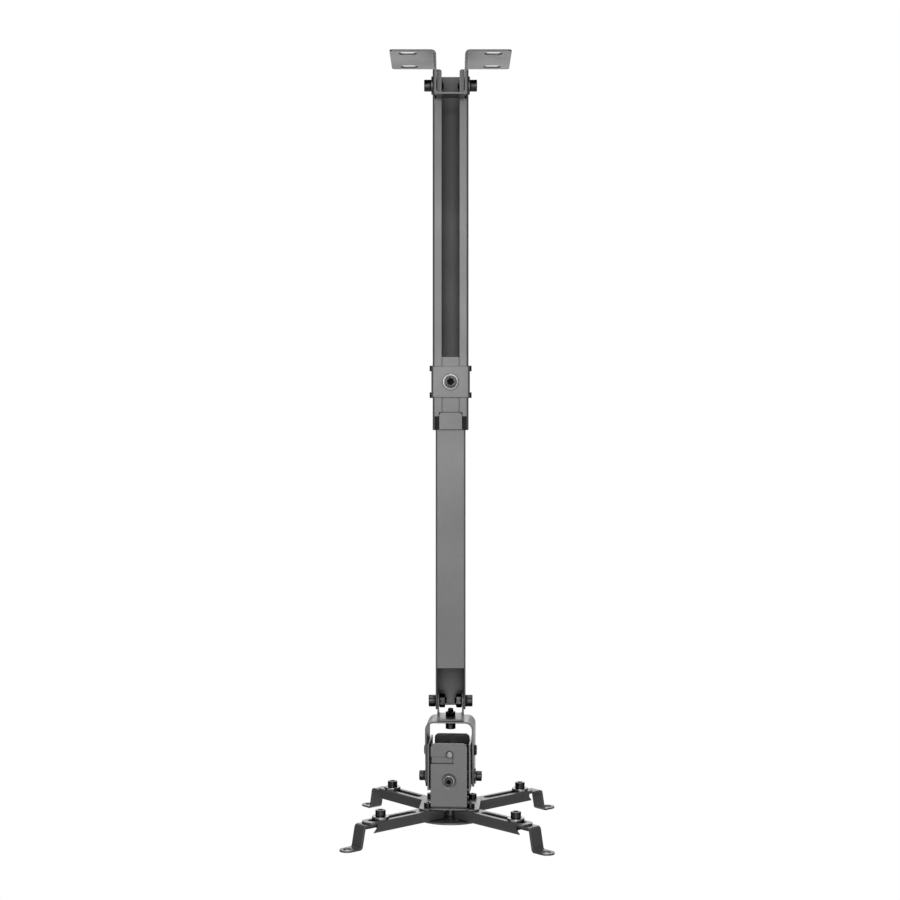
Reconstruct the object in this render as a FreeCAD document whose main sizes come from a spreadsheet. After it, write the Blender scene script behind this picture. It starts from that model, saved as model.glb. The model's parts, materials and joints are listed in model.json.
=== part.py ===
import FreeCAD, Part
import math
import os
import re
import Sketcher

# Telescopic ceiling mount for a projector, in millimetres.
# The origin is on the ceiling, on the axis of the pole. +Z is up and -Y is the open front of the pole.
# Sizes whose names end in drop are distances below the ceiling.

SIZES = {
    "Ceiling bracket": {
        "bracket_span": 101,
        "bracket_depth": 61,
        "bracket_drop": 36.7,
        "bracket_wall": 1.5,
        "bracket_bend": 2.5,
        "bracket_corner": 3,
        "bracket_gap": 0.1,
        "ceiling_slot_across": 71,
        "ceiling_slot_along": 44,
        "ceiling_slot_length": 15,
        "ceiling_slot_width": 8.5,
        "window_gap": 0.3,
        "bracket_bolt_drop": 22.9,
    },
    "Outer tube": {
        "tube_width": 30,
        "tube_depth": 28,
        "tube_wall": 1.5,
        "tube_corner": 2,
        "tube_fillet": 0.5,
        "tube_slot": 15,
        "tube_top_drop": 12.5,
        "tube_end_drop": 313.5,
        "lip_end_drop": 299,
        "lip_step": 3.3,
        "ear_corner": 1.8,
    },
    "Clamp": {
        "clamp_wall": 1,
        "clamp_top_drop": 260.6,
        "clamp_height": 25.9,
        "clamp_hook": 5,
        "clamp_screw_drop": 273.6,
        "clamp_washer_size": 13.6,
        "clamp_washer_wall": 1.3,
        "clamp_nut_height": 1.7,
        "peg_size": 4.8,
        "peg_reach": 2.7,
        "peg_top_drop": 261.6,
        "peg_pitch": 22.5,
        "pad_depth": 20,
        "pad_margin": 3.4,
        "clamp_gap": 0.1,
        "peg_gap": 0.2,
    },
    "Mouth": {
        "bush_front": 1,
        "bush_height": 14.1,
        "mouth_plate_width": 19.2,
        "mouth_plate_wall": 1.2,
        "mouth_plate_chamfer": 1.5,
        "mouth_gap": 0.2,
    },
    "Inner tube": {
        "inner_width": 25,
        "inner_depth": 24,
        "inner_wall": 1.2,
        "inner_corner": 1.6,
        "inner_fillet": 0.4,
        "inner_top_drop": 252.6,
        "inner_end_drop": 547.4,
        "window_top_drop": 512.9,
        "slide_gap": 0.15,
    },
    "Fork": {
        "fork_pivot_drop": 541.9,
        "fork_wall": 1.6,
        "fork_gap": 0.1,
        "fork_neck": 17,
        "fork_depth": 34,
        "fork_web_drop": 554.9,
        "fork_shoulder": 3,
        "fork_bend": 1.2,
        "fork_bolt_length": 9.2,
        "swivel_stud": 6.7,
        "swivel_washer_size": 11,
    },
    "Yoke": {
        "yoke_width": 40.5,
        "yoke_depth": 37,
        "yoke_wall": 1.5,
        "yoke_bend": 5.5,
        "yoke_end_drop": 612.5,
        "yoke_foot_depth": 27,
        "yoke_foot_corner": 6,
        "yoke_taper_drop": 572,
        "turn_gap": 0.1,
        "pivot_drop": 583.3,
        "rivet_size": 5,
        "rivet_head": 8.9,
        "rivet_head_height": 2,
        "rivet_tail_height": 1.2,
        "tilt_bolt_drop": 605.2,
        "tilt_angle": 15,
        "tilt_spare": 1,
        "head_yaw": -3.6,
    },
    "Head": {
        "box_gap": 0.75,
        "box_depth": 44,
        "box_wall": 1.5,
        "box_top_drop": 574.7,
        "box_end_drop": 613,
        "box_corner_slit": 2,
        "hook_width": 30.2,
        "hook_spread": 48,
        "hook_wall": 1.5,
        "hook_top_drop": 573.7,
        "hook_end_drop": 628,
        "hook_corner": 4,
        "hook_low_corner": 1.8,
        "hook_bend": 1,
        "hook_web_width": 25,
        "pin_size": 6,
        "pin_gap": 0.15,
        "pin_across": 0.6,
        "pin_drop": 583.1,
        "pin_reach": 1.2,
        "hook_slot_drop": 587.9,
        "release_drop": 605,
        "recess_size": 14,
        "recess_depth": 0.7,
        "release_washer_size": 9,
    },
    "Hub": {
        "base_width": 50,
        "base_depth": 50,
        "base_wall": 1.5,
        "base_corner": 4,
        "base_relief_width": 33,
        "base_relief_depth": 3,
        "hub_size": 60,
        "hub_wall": 1.5,
        "hub_gap": 0.5,
        "spacer_size": 9,
        "pivot_circle": 50,
    },
    "Arms": {
        "arm_width": 16,
        "arm_wall": 1.5,
        "arm_height": 8.5,
        "arm_bend": 0.3,
        "arm_tail": 11,
        "arm_flange_reach": 60,
        "arm_toe": 3.6,
        "arm_reach": 68,
        "arm_slot_width": 6.5,
        "arm_slot_start": 17,
        "arm_slot_end": 60,
        "swing_front_left": 0.2,
        "swing_front_right": 2.1,
        "swing_rear_left": -0.6,
        "swing_rear_right": -0.2,
    },
    "Legs": {
        "leg_width": 12.6,
        "leg_wall": 1.5,
        "leg_tail": 8,
        "leg_shoulder": 20,
        "leg_lean": 3.5,
        "leg_bend": 1.5,
        "leg_hole_reach": 34,
        "leg_gap": 0.05,
        "foot_hole": 6.5,
        "foot_drop": 650,
        "leg_washer_size": 14,
        "leg_washer_wall": 1,
        "spring_washer_size": 9.2,
        "spring_washer_wall": 1.3,
        "spring_washer_split": 14,
        "place_front_left": 51,
        "place_front_right": 52.5,
        "place_rear_left": 53,
        "place_rear_right": 56,
    },
    "Fasteners": {
        "socket_floor_share": 0.45,
        "large_bolt": 6,
        "large_head": 10,
        "large_head_height": 6,
        "large_socket": 5,
        "large_nut": 10,
        "large_nut_height": 5,
        "large_washer": 15.5,
        "large_washer_wall": 1.3,
        "medium_bolt": 5,
        "medium_head": 8.5,
        "medium_head_height": 5,
        "medium_socket": 4,
        "medium_nut": 8,
        "medium_nut_height": 4,
        "medium_washer": 13,
        "medium_washer_wall": 1,
        "small_bolt": 4,
        "small_head": 7,
        "small_head_height": 4,
        "small_socket": 3,
        "small_nut": 7,
        "small_nut_height": 3.2,
        "small_washer_wall": 0.8,
        "hole_gap": 0.4,
        "thread_gap": 0.1,
        "head_chamfer": 0.5,
        "bolt_end": 1,
    },
    "Shaping": {
        "round_margin": 0.01,
        "overcut": 1,
    },
}

# Places that follow from the sizes above.
PLACES = {
    "bracket_half": "tube_width / 2 - tube_wall - bracket_gap",
    "bracket_inside": "bracket_half - bracket_wall",
    "ear_half": "bracket_inside - window_gap",
    "tube_inside": "tube_width / 2 - tube_wall",
    "tube_front": "tube_depth / 2",
    "clamp_half": "tube_width / 2 + clamp_gap + clamp_wall",
    "clamp_front": "tube_depth / 2 + clamp_gap + clamp_wall",
    "peg_end_drop": "peg_top_drop + peg_pitch",
    "pad_inside": "inner_width / 2 + slide_gap",
    "bush_back": "inner_depth / 2 + slide_gap",
    "lip_step_drop": "lip_end_drop + lip_step",
    "seat_half": "mouth_plate_width / 2 + mouth_gap",
    "fork_half": "inner_width / 2 - inner_wall - fork_gap",
    "fork_end_drop": "fork_web_drop + fork_wall",
    "yoke_top_drop": "fork_end_drop + turn_gap",
    "yoke_under_drop": "yoke_top_drop + yoke_wall",
    "yoke_inside": "yoke_width / 2 - yoke_wall",
    "tilt_radius": "tilt_bolt_drop - pivot_drop",
    "box_half": "yoke_inside - box_gap",
    "box_inside": "box_half - box_wall",
    "hook_inside": "hook_spread / 2 - hook_wall",
    "base_end_drop": "hook_end_drop + base_wall",
    "arm_under_drop": "base_end_drop + arm_wall",
    "arm_end_drop": "base_end_drop + arm_height",
    "hub_top_drop": "arm_end_drop + hub_gap",
    "hub_end_drop": "hub_top_drop + hub_wall",
    "leg_top_drop": "arm_under_drop + leg_gap",
    "leg_under_drop": "leg_top_drop + leg_wall",
    "leg_tip": "leg_hole_reach + leg_width / 2",
}

CORNERS = {
    "front_left": -135,
    "front_right": -45,
    "rear_left": 135,
    "rear_right": 45,
}

PLANES = {
    "XY": ("XY_Plane", 1),
    "XZ": ("XZ_Plane", -1),
    "YZ": ("YZ_Plane", 1),
}

doc = FreeCAD.newDocument("projector_ceiling_mount")
sizes = doc.addObject("Spreadsheet::Sheet", "Sizes")
places = doc.addObject("Spreadsheet::Sheet", "Places")
size_names = {alias for group in SIZES.values() for alias in group}
nodes = []


def bound(text):
    """Turn an expression in plain aliases into one that names their sheets."""
    def sheet_name(match):
        word = match.group()
        if word in size_names:
            return "Sizes." + word
        if word in PLACES:
            return "Places." + word
        return word
    return re.sub(r"[A-Za-z_]+", sheet_name, str(text))


def fill_sheets():
    """Write the driving dimensions and the places worked out from them."""
    row = 1
    for heading, group in SIZES.items():
        sizes.set(f"A{row}", heading)
        row += 1
        for alias, value in group.items():
            sizes.set(f"A{row}", alias.replace("_", " "))
            sizes.set(f"B{row}", str(value))
            sizes.setAlias(f"B{row}", alias)
            row += 1
    doc.recompute()
    for row, (alias, text) in enumerate(PLACES.items(), start=1):
        places.set(f"A{row}", alias.replace("_", " "))
        places.set(f"B{row}", "=" + bound(text).replace("Places.", ""))
        places.setAlias(f"B{row}", alias)
    doc.recompute()


def value(text):
    """Give the number that an expression stands for now."""
    return float(sizes.evalExpression(bound(text)))


# Sketch outlines. Each is given by expressions, and every point is pinned by them.

def pin(sketch, geometry, point, x, y):
    """Hold a point of the sketch by two expressions."""
    for kind, text in (("DistanceX", x), ("DistanceY", y)):
        name = f"{kind[-1].lower()}_{geometry}_{point}"
        index = sketch.addConstraint(Sketcher.Constraint(kind, -1, 1, geometry, point, value(text)))
        sketch.renameConstraint(index, name)
        sketch.setExpression("Constraints." + name, bound(text))


def pin_across(sketch, geometry, x):
    """Pin only the first coordinate of an arc's centre."""
    name = f"across_{geometry}"
    index = sketch.addConstraint(Sketcher.Constraint("DistanceX", -1, 1, geometry, 3, value(x)))
    sketch.renameConstraint(index, name)
    sketch.setExpression("Constraints." + name, bound(x))


def set_radius(sketch, geometry, text):
    name = f"radius_{geometry}"
    index = sketch.addConstraint(Sketcher.Constraint("Radius", geometry, value(text)))
    sketch.renameConstraint(index, name)
    sketch.setExpression("Constraints." + name, bound(text))


def outline(*points):
    """A closed outline of straight lines through the points."""
    def draw(sketch):
        corners = [FreeCAD.Vector(value(x), value(y), 0) for x, y in points]
        first = sketch.GeometryCount
        for start, end in zip(corners, corners[1:] + corners[:1]):
            sketch.addGeometry(Part.LineSegment(start, end), False)
        for index, (x, y) in enumerate(points):
            following = first + (index + 1) % len(points)
            sketch.addConstraint(Sketcher.Constraint("Coincident", first + index, 2, following, 1))
            pin(sketch, first + index, 1, x, y)
    return draw


def rectangle(left, low, right, high):
    return outline((left, low), (right, low), (right, high), (left, high))


def circle(x, y, radius):
    def draw(sketch):
        centre = FreeCAD.Vector(value(x), value(y), 0)
        index = sketch.addGeometry(Part.Circle(centre, FreeCAD.Vector(0, 0, 1), value(radius)), False)
        pin(sketch, index, 3, x, y)
        set_radius(sketch, index, radius)
    return draw


def slot(start, end, y, radius):
    """A slot along the sketch's first axis, between two end centres."""
    def draw(sketch):
        r = value(radius)
        level = value(y)
        normal = FreeCAD.Vector(0, 0, 1)
        first = sketch.GeometryCount
        for x, begin in ((start, math.pi / 2), (end, -math.pi / 2)):
            arc = Part.Circle(FreeCAD.Vector(value(x), level, 0), normal, r)
            sketch.addGeometry(Part.ArcOfCircle(arc, begin, begin + math.pi), False)
        for side in (-r, r):
            left = FreeCAD.Vector(value(start), level + side, 0)
            right = FreeCAD.Vector(value(end), level + side, 0)
            sketch.addGeometry(Part.LineSegment(left, right), False)
        for arc, point, line, line_end in ((0, 2, 2, 1), (1, 1, 2, 2), (0, 1, 3, 1), (1, 2, 3, 2)):
            touch = Sketcher.Constraint("Tangent", first + arc, point, first + line, line_end)
            sketch.addConstraint(touch)
        pin(sketch, first, 3, start, y)
        pin(sketch, first + 1, 3, end, y)
        sketch.addConstraint(Sketcher.Constraint("Equal", first, first + 1))
        set_radius(sketch, first, radius)
    return draw


def arc_slot(centre, mid_radius, half_angle, radius):
    """A slot along an arc about a centre on the second axis, its middle straight below that centre."""
    def draw(sketch):
        level = value(centre)
        half = math.radians(value(half_angle))
        middle = value(mid_radius)
        r = value(radius)
        normal = FreeCAD.Vector(0, 0, 1)
        hub = FreeCAD.Vector(0, level, 0)
        down = -math.pi / 2
        first = sketch.GeometryCount
        for size in (middle - r, middle + r):
            wall = Part.Circle(hub, normal, size)
            sketch.addGeometry(Part.ArcOfCircle(wall, down - half, down + half), False)
        for side in (-1, 1):
            angle = down + side * half
            end = FreeCAD.Vector(middle * math.cos(angle), level + middle * math.sin(angle), 0)
            begin = angle - math.pi if side < 0 else angle
            sketch.addGeometry(Part.ArcOfCircle(Part.Circle(end, normal, r), begin, begin + math.pi), False)
        joins = ((0, 1, 2, 1), (1, 1, 2, 2), (0, 2, 3, 2), (1, 2, 3, 1))
        for arc, point, cap, cap_end in joins:
            touch = Sketcher.Constraint("Tangent", first + arc, point, first + cap, cap_end)
            sketch.addConstraint(touch)
        pin(sketch, first, 3, "0", centre)
        sketch.addConstraint(Sketcher.Constraint("Coincident", first + 1, 3, first, 3))
        set_radius(sketch, first, f"{mid_radius} - {radius}")
        across = f"{mid_radius} * sin({half_angle})"
        pin_across(sketch, first + 2, f"-{across}")
        pin_across(sketch, first + 3, across)
        set_radius(sketch, first + 2, radius)
    return draw


def hexagon(x, y, flats):
    reach = f"({flats}) / sqrt(3)"
    return outline(*(
        (f"{x} + {reach} * cos({angle})", f"{y} + {reach} * sin({angle})") for angle in range(0, 360, 60)))


def ring_sketch(inner, outer):
    def draw(sketch):
        circle("0", "0", outer)(sketch)
        circle("0", "0", inner)(sketch)
    return draw


# Features of a body.

def new_body(name):
    return doc.addObject("PartDesign::Body", name)


def new_sketch(body, name, plane, level, *outlines):
    role, side = PLANES[plane]
    sketch = body.newObject("Sketcher::SketchObject", name)
    origin_plane = next(item for item in body.Origin.OriginFeatures if item.Role == role)
    sketch.AttachmentSupport = (origin_plane, [""])
    sketch.MapMode = "FlatFace"
    sketch.setExpression("AttachmentOffset.Base.z", bound(f"{side} * ({level})"))
    for draw in outlines:
        draw(sketch)
    return sketch


def add(body, name, plane, low, high, *outlines):
    """Pad outlines from low to high along the plane's axis."""
    level = low if PLANES[plane][1] > 0 else high
    sketch = new_sketch(body, name + "_sketch", plane, level, *outlines)
    pad = body.newObject("PartDesign::Pad", name)
    pad.Profile = sketch
    pad.setExpression("Length", bound(f"({high}) - ({low})"))
    doc.recompute()
    return pad


def cut(body, name, plane, low, high, *outlines):
    """Pocket outlines from low to high along the plane's axis, and stop if nothing was cut."""
    before = body.Shape.Volume
    level = high if PLANES[plane][1] > 0 else low
    sketch = new_sketch(body, name + "_sketch", plane, level, *outlines)
    pocket = body.newObject("PartDesign::Pocket", name)
    pocket.Profile = sketch
    pocket.setExpression("Length", bound(f"({high}) - ({low})"))
    doc.recompute()
    if not body.Shape.Volume < before - 1e-6:
        raise RuntimeError(f"{body.Label}: {name} cuts nothing")
    return pocket


def turn(body, name, points, angle="360"):
    """Revolve a half section, given as radius and height, about Z."""
    sketch = new_sketch(body, name + "_sketch", "XZ", "0", outline(*points))
    spin = body.newObject("PartDesign::Revolution", name)
    spin.Profile = sketch
    spin.ReferenceAxis = (sketch, ["V_Axis"])
    spin.setExpression("Angle", bound(angle))
    doc.recompute()
    return spin


def edges_along(shape, axis, spots, tolerance=0.02):
    """Names of the straight edges along an axis that pass through spots given in the other two axes."""
    others = [k for k in range(3) if k != axis]
    found = []
    for number, edge in enumerate(shape.Edges, start=1):
        ends = [vertex.Point for vertex in edge.Vertexes]
        if len(ends) != 2 or not isinstance(edge.Curve, Part.Line):
            continue
        direction = ends[1] - ends[0]
        if abs(direction[axis]) < direction.Length * 0.999:
            continue
        for spot in spots:
            if all(abs(ends[0][k] - place) < tolerance for k, place in zip(others, spot)):
                found.append(f"Edge{number}")
                break
    return found


def round_edges(body, name, radius, axis, spots, kind="Fillet"):
    """Fillet or chamfer the edges along an axis at the spots, each a pair of expressions."""
    base = body.Tip
    places_now = [(value(first), value(second)) for first, second in spots]
    found = edges_along(base.Shape, axis, places_now)
    if not found:
        raise RuntimeError(f"{body.Label}: {name} finds no edge")
    feature = body.newObject("PartDesign::" + kind, name)
    feature.Base = (base, found)
    feature.setExpression("Radius" if kind == "Fillet" else "Size", bound(radius))
    doc.recompute()
    return feature


def both_sides(x, z):
    """The same spot on the left and on the right."""
    return [(f"-({x})", z), (x, z)]


def finish(item, label, placement=None):
    """Name an object as a node of the mount and put it in its place."""
    item.Label = label
    if placement:
        item.Placement = placement
    nodes.append(item)
    return item


# Fasteners. Each master lies on Z with the underside of its head or its seat at the origin.

def master_bolt(name, size, length):
    body = new_body(name)
    radius = f"{size}_bolt / 2"
    head = f"{size}_head / 2"
    height = f"{size}_head_height"
    turn(body, "turned", [("0", f"-({length})"), (radius, f"-({length})"), (radius, "0"), (head, "0"),
                          (head, height), ("0", height)])
    cut(body, "socket", "XY", f"{height} * socket_floor_share", height, hexagon("0", "0", f"{size}_socket"))
    return body


def master_nut(name, size, height=None):
    body = new_body(name)
    height = height or f"{size}_nut_height"
    add(body, "hexagon", "XY", "0", height, hexagon("0", "0", f"{size}_nut"))
    cut(body, "bore", "XY", "0", height, circle("0", "0", f"({size}_bolt + thread_gap) / 2"))
    return body


def master_washer(name, size, outside, wall):
    body = new_body(name)
    add(body, "ring", "XY", "0", wall, ring_sketch(f"({size}_bolt + hole_gap) / 2", f"({outside}) / 2"))
    return body


def master_spring_washer(name, size):
    body = new_body(name)
    inner = f"({size}_bolt + hole_gap) / 2"
    outer = "spring_washer_size / 2"
    wall = "spring_washer_wall"
    section = [(inner, "0"), (outer, "0"), (outer, wall), (inner, wall)]
    turn(body, "coil", section, "360 - spring_washer_split")
    return body


AIM = {
    "up": FreeCAD.Rotation(),
    "down": FreeCAD.Rotation(FreeCAD.Vector(1, 0, 0), 180),
    "left": FreeCAD.Rotation(FreeCAD.Vector(0, 1, 0), -90),
    "right": FreeCAD.Rotation(FreeCAD.Vector(0, 1, 0), 90),
    "front": FreeCAD.Rotation(FreeCAD.Vector(1, 0, 0), 90),
}


def at(x, y, z, aim="up"):
    return FreeCAD.Placement(FreeCAD.Vector(value(x), value(y), value(z)), AIM[aim])


def place_group(label, *copies):
    """A node of separate solids: copies of masters, each a master and its placement."""
    links = []
    for number, (master, placement) in enumerate(copies, start=1):
        link = doc.addObject("App::Link", f"{label}_{number}")
        link.LinkedObject = master
        link.Placement = placement
        links.append(link)
    group = doc.addObject("Part::Compound", label)
    group.Links = links
    return finish(group, label)


def left_and_right(master, reach, y, z, outward=True):
    """Two copies on the left and the right, facing out or in."""
    left, right = ("left", "right") if outward else ("right", "left")
    return [(master, at(f"-({reach})", y, z, left)), (master, at(reach, y, z, right))]


def turned_by(angle):
    return FreeCAD.Placement(FreeCAD.Vector(), FreeCAD.Rotation(FreeCAD.Vector(0, 0, 1), angle))


# The ceiling bracket: one strip folded to a hat, slotted for ceiling screws, its web open round the tube.

def ceiling_bracket():
    body = new_body("ceiling_bracket")
    span = "bracket_span / 2"
    depth = "bracket_depth / 2"
    outer = "bracket_half"
    inner = "bracket_inside"
    web = "bracket_wall - bracket_drop"
    add(body, "folded_strip", "XZ", f"-{depth}", depth, outline(
        (f"-{span}", "0"), (f"-{inner}", "0"), (f"-{inner}", web), (inner, web), (inner, "0"), (span, "0"),
        (span, "-bracket_wall"), (outer, "-bracket_wall"), (outer, "-bracket_drop"),
        (f"-{outer}", "-bracket_drop"), (f"-{outer}", "-bracket_wall"), (f"-{span}", "-bracket_wall")))
    round_edges(body, "inner_bends", "bracket_bend", 1,
                both_sides(outer, "-bracket_wall") + both_sides(inner, web))
    round_edges(body, "outer_bends", "bracket_bend + bracket_wall", 1,
                both_sides(inner, "0") + both_sides(outer, "-bracket_drop"))
    round_edges(body, "corners", "bracket_corner", 2,
                [(f"{side} * {span}", f"{end} * {depth}") for side in (-1, 1) for end in (-1, 1)])
    half_run = "(ceiling_slot_length - ceiling_slot_width) / 2"
    slots = []
    for side in (-1, 1):
        middle = f"{side} * ceiling_slot_across / 2"
        for end in (-1, 1):
            slots.append(slot(f"{middle} - {half_run}", f"{middle} + {half_run}",
                              f"{end} * ceiling_slot_along / 2", "ceiling_slot_width / 2"))
    cut(body, "ceiling_slots", "XY", "-bracket_wall", "0", *slots)
    opening = "tube_depth / 2 + window_gap"
    cut(body, "tube_window", "XY", "-bracket_drop", f"{web} + bracket_bend",
        rectangle(f"-{inner}", f"-({opening})", inner, opening))
    cut(body, "bolt_holes", "YZ", f"-{outer}", outer,
        circle("0", "-bracket_bolt_drop", "(large_bolt + hole_gap) / 2"))
    return finish(body, "ceiling_bracket")


# The outer tube: a channel with returned lips, slotted at its top end for the bracket's sides.

def outer_tube():
    body = new_body("outer_tube")
    half = "tube_width / 2"
    inside = "tube_inside"
    front = "tube_front"
    skin = "tube_front - tube_wall"
    lip = "tube_slot / 2"
    add(body, "channel", "XY", "-tube_end_drop", "-tube_top_drop", outline(
        (f"-{lip}", f"-{front}"), (f"-{half}", f"-{front}"), (f"-{half}", front), (half, front),
        (half, f"-{front}"), (lip, f"-{front}"), (lip, f"-({skin})"), (inside, f"-({skin})"),
        (inside, skin), (f"-{inside}", skin), (f"-{inside}", f"-({skin})"), (f"-{lip}", f"-({skin})")))
    round_edges(body, "bends", "tube_corner", 2, both_sides(half, f"-{front}") + both_sides(half, front))
    round_edges(body, "inner_bends", "tube_fillet", 2,
                both_sides(inside, f"-({skin})") + both_sides(inside, skin))
    round_edges(body, "ear_corners", "ear_corner", 1, both_sides(lip, "-tube_top_drop"))
    cut(body, "bracket_slots", "XY", "-bracket_drop - window_gap", "-tube_top_drop",
        rectangle(f"-{inside}", f"-{front}", "-ear_half", front),
        rectangle("ear_half", f"-{front}", inside, front))
    cut(body, "lip_cut", "XZ", f"-{front}", f"-({skin}) + tube_fillet", outline(
        (f"-{inside}", "-tube_end_drop"), (inside, "-tube_end_drop"), (inside, "-lip_step_drop"),
        ("seat_half", "-lip_step_drop"), ("seat_half", "-lip_end_drop"), ("-seat_half", "-lip_end_drop"),
        ("-seat_half", "-lip_step_drop"), (f"-{inside}", "-lip_step_drop")))
    peg_hole = "(peg_size + peg_gap) / 2"
    cut(body, "side_holes", "YZ", f"-{half}", half,
        circle("0", "-bracket_bolt_drop", "(large_bolt + hole_gap) / 2"),
        circle("0", "-peg_top_drop", peg_hole), circle("0", "-peg_end_drop", peg_hole))
    return finish(body, "outer_tube")


# The clamp: a thin sleeve hooked round the tube, whose screw presses the inner tube to the back wall.

def clamp_sleeve():
    body = new_body("clamp_sleeve")
    half = "clamp_half"
    front = "clamp_front"
    inside = "clamp_half - clamp_wall"
    skin = "clamp_front - clamp_wall"
    tip = "clamp_half - clamp_hook"
    end_drop = "clamp_top_drop + clamp_height"
    add(body, "folded_strip", "XY", f"-({end_drop})", "-clamp_top_drop", outline(
        (f"-{half}", f"-{front}"), (half, f"-{front}"), (half, front), (tip, front), (tip, skin),
        (inside, skin), (inside, f"-({skin})"), (f"-({inside})", f"-({skin})"), (f"-({inside})", skin),
        (f"-({tip})", skin), (f"-({tip})", front), (f"-{half}", front)))
    round_edges(body, "bends", "tube_corner", 2, both_sides(half, f"-{front}") + both_sides(half, front))
    low = "-peg_end_drop + peg_size / 2 + peg_gap"
    high = "-peg_top_drop - peg_size / 2 - peg_gap"
    back = f"-({skin}) + tube_corner"
    cut(body, "peg_reliefs", "YZ", f"-{half}", half,
        rectangle(back, f"-({end_drop})", front, low), rectangle(back, high, front, "-clamp_top_drop"))
    cut(body, "screw_hole", "XZ", f"-{front}", "0",
        circle("0", "-clamp_screw_drop", "(large_bolt + hole_gap) / 2"))
    return finish(body, "clamp_sleeve")


def guide_pad(label, side):
    """A nylon pad between the tubes, with two pegs through the outer tube's wall."""
    body = new_body(label)
    inner = "pad_inside"
    reach = "tube_width / 2 + peg_reach"
    low, high = (inner, "tube_inside") if side > 0 else ("-tube_inside", f"-{inner}")
    add(body, "pad", "YZ", low, high, rectangle(
        "-pad_depth / 2", "-peg_end_drop - pad_margin", "pad_depth / 2", "-peg_top_drop + pad_margin"))
    low, high = ("tube_inside", reach) if side > 0 else (f"-({reach})", "-tube_inside")
    add(body, "pegs", "YZ", low, high,
        circle("0", "-peg_top_drop", "peg_size / 2"), circle("0", "-peg_end_drop", "peg_size / 2"))
    return finish(body, label)


def mouth_bush():
    """The nylon collar in the outer tube's mouth, open at the back, with a seat for the steel plate."""
    body = new_body("mouth_bush")
    top = "-lip_end_drop - mouth_gap"
    low = "-lip_end_drop - mouth_gap - bush_height"
    half = "tube_inside"
    inner = "pad_inside"
    face = "tube_front"
    seat = "bush_back + bush_front"
    rear = "tube_front - tube_wall - tube_fillet"
    add(body, "collar", "XY", low, top, outline(
        (f"-{half}", f"-{face}"), ("-seat_half", f"-{face}"), ("-seat_half", f"-({seat})"),
        ("seat_half", f"-({seat})"), ("seat_half", f"-{face}"), (half, f"-{face}"), (half, rear),
        (inner, rear), (inner, "-bush_back"), (f"-{inner}", "-bush_back"), (f"-{inner}", rear),
        (f"-{half}", rear)))
    plate = "mouth_plate_width / 2"
    step = "-lip_step_drop - mouth_gap"
    cut(body, "shoulders", "XZ", f"-{face}", f"-({rear})",
        rectangle(f"-{half}", step, f"-{plate}", top), rectangle(plate, step, half, top))
    return finish(body, "mouth_bush")


def mouth_plate():
    body = new_body("mouth_plate")
    half = "mouth_plate_width / 2"
    top = "-lip_end_drop - mouth_gap"
    low = "-lip_end_drop - mouth_gap - bush_height"
    seat = "bush_back + bush_front"
    add(body, "plate", "XZ", f"-({seat}) - mouth_plate_wall", f"-({seat})", outline(
        (f"-{half}", low), (half, low), (half, f"{top} - mouth_plate_chamfer"),
        (f"{half} - mouth_plate_chamfer", top), (f"-{half} + mouth_plate_chamfer", top),
        (f"-{half}", f"{top} - mouth_plate_chamfer")))
    return finish(body, "mouth_plate")


# The inner tube: a closed tube that slides in the channel, its front cut away over the fork.

def inner_tube():
    body = new_body("inner_tube")
    half = "inner_width / 2"
    deep = "inner_depth / 2"
    inside = "inner_width / 2 - inner_wall"
    skin = "inner_depth / 2 - inner_wall"
    add(body, "tube", "XY", "-inner_end_drop", "-inner_top_drop",
        rectangle(f"-{half}", f"-{deep}", half, deep),
        rectangle(f"-({inside})", f"-({skin})", inside, skin))
    round_edges(body, "bends", "inner_corner", 2, both_sides(half, f"-{deep}") + both_sides(half, deep))
    round_edges(body, "inner_bends", "inner_fillet", 2,
                both_sides(inside, f"-({skin})") + both_sides(inside, skin))
    cut(body, "front_window", "XY", "-inner_end_drop", "-window_top_drop",
        rectangle(f"-({inside})", f"-{deep}", inside, f"-({skin})"))
    cut(body, "bolt_holes", "YZ", f"-{half}", half,
        circle("0", "-fork_pivot_drop", "(large_bolt + hole_gap) / 2"))
    return finish(body, "inner_tube")


# The fork: a folded strip, round at the pivot, wide at the web that carries the swivel bolt.

def fork():
    body = new_body("fork")
    half = "fork_half"
    inside = "fork_half - fork_wall"
    neck = "fork_neck / 2"
    wide = "fork_depth / 2"
    crown = "-fork_pivot_drop + fork_neck / 2"
    shoulder = "-fork_web_drop + fork_shoulder"
    add(body, "folded_strip", "XZ", f"-{wide}", wide, outline(
        (f"-{half}", "-fork_end_drop"), (half, "-fork_end_drop"), (half, crown), (inside, crown),
        (inside, "-fork_web_drop"), (f"-({inside})", "-fork_web_drop"), (f"-({inside})", crown),
        (f"-{half}", crown)))
    round_edges(body, "inner_bends", "fork_bend", 1, both_sides(inside, "-fork_web_drop"))
    round_edges(body, "outer_bends", "fork_bend + fork_wall", 1, both_sides(half, "-fork_end_drop"))
    cut(body, "arm_outline", "YZ", f"-{half}", half,
        rectangle(f"-{wide}", shoulder, f"-{neck}", crown), rectangle(neck, shoulder, wide, crown))
    round_edges(body, "arm_ends", "fork_neck / 2 - round_margin", 0,
                [(f"-{neck}", crown), (neck, crown)])
    cut(body, "pivot_holes", "YZ", f"-{half}", half,
        circle("0", "-fork_pivot_drop", "(large_bolt + hole_gap) / 2"))
    cut(body, "swivel_hole", "XY", "-fork_end_drop", "-fork_web_drop",
        circle("0", "0", "(medium_bolt + hole_gap) / 2"))
    return finish(body, "fork")


# The yoke: a wide strip folded down on both sides of the head, with arc slots for the tilt bolts.

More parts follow.
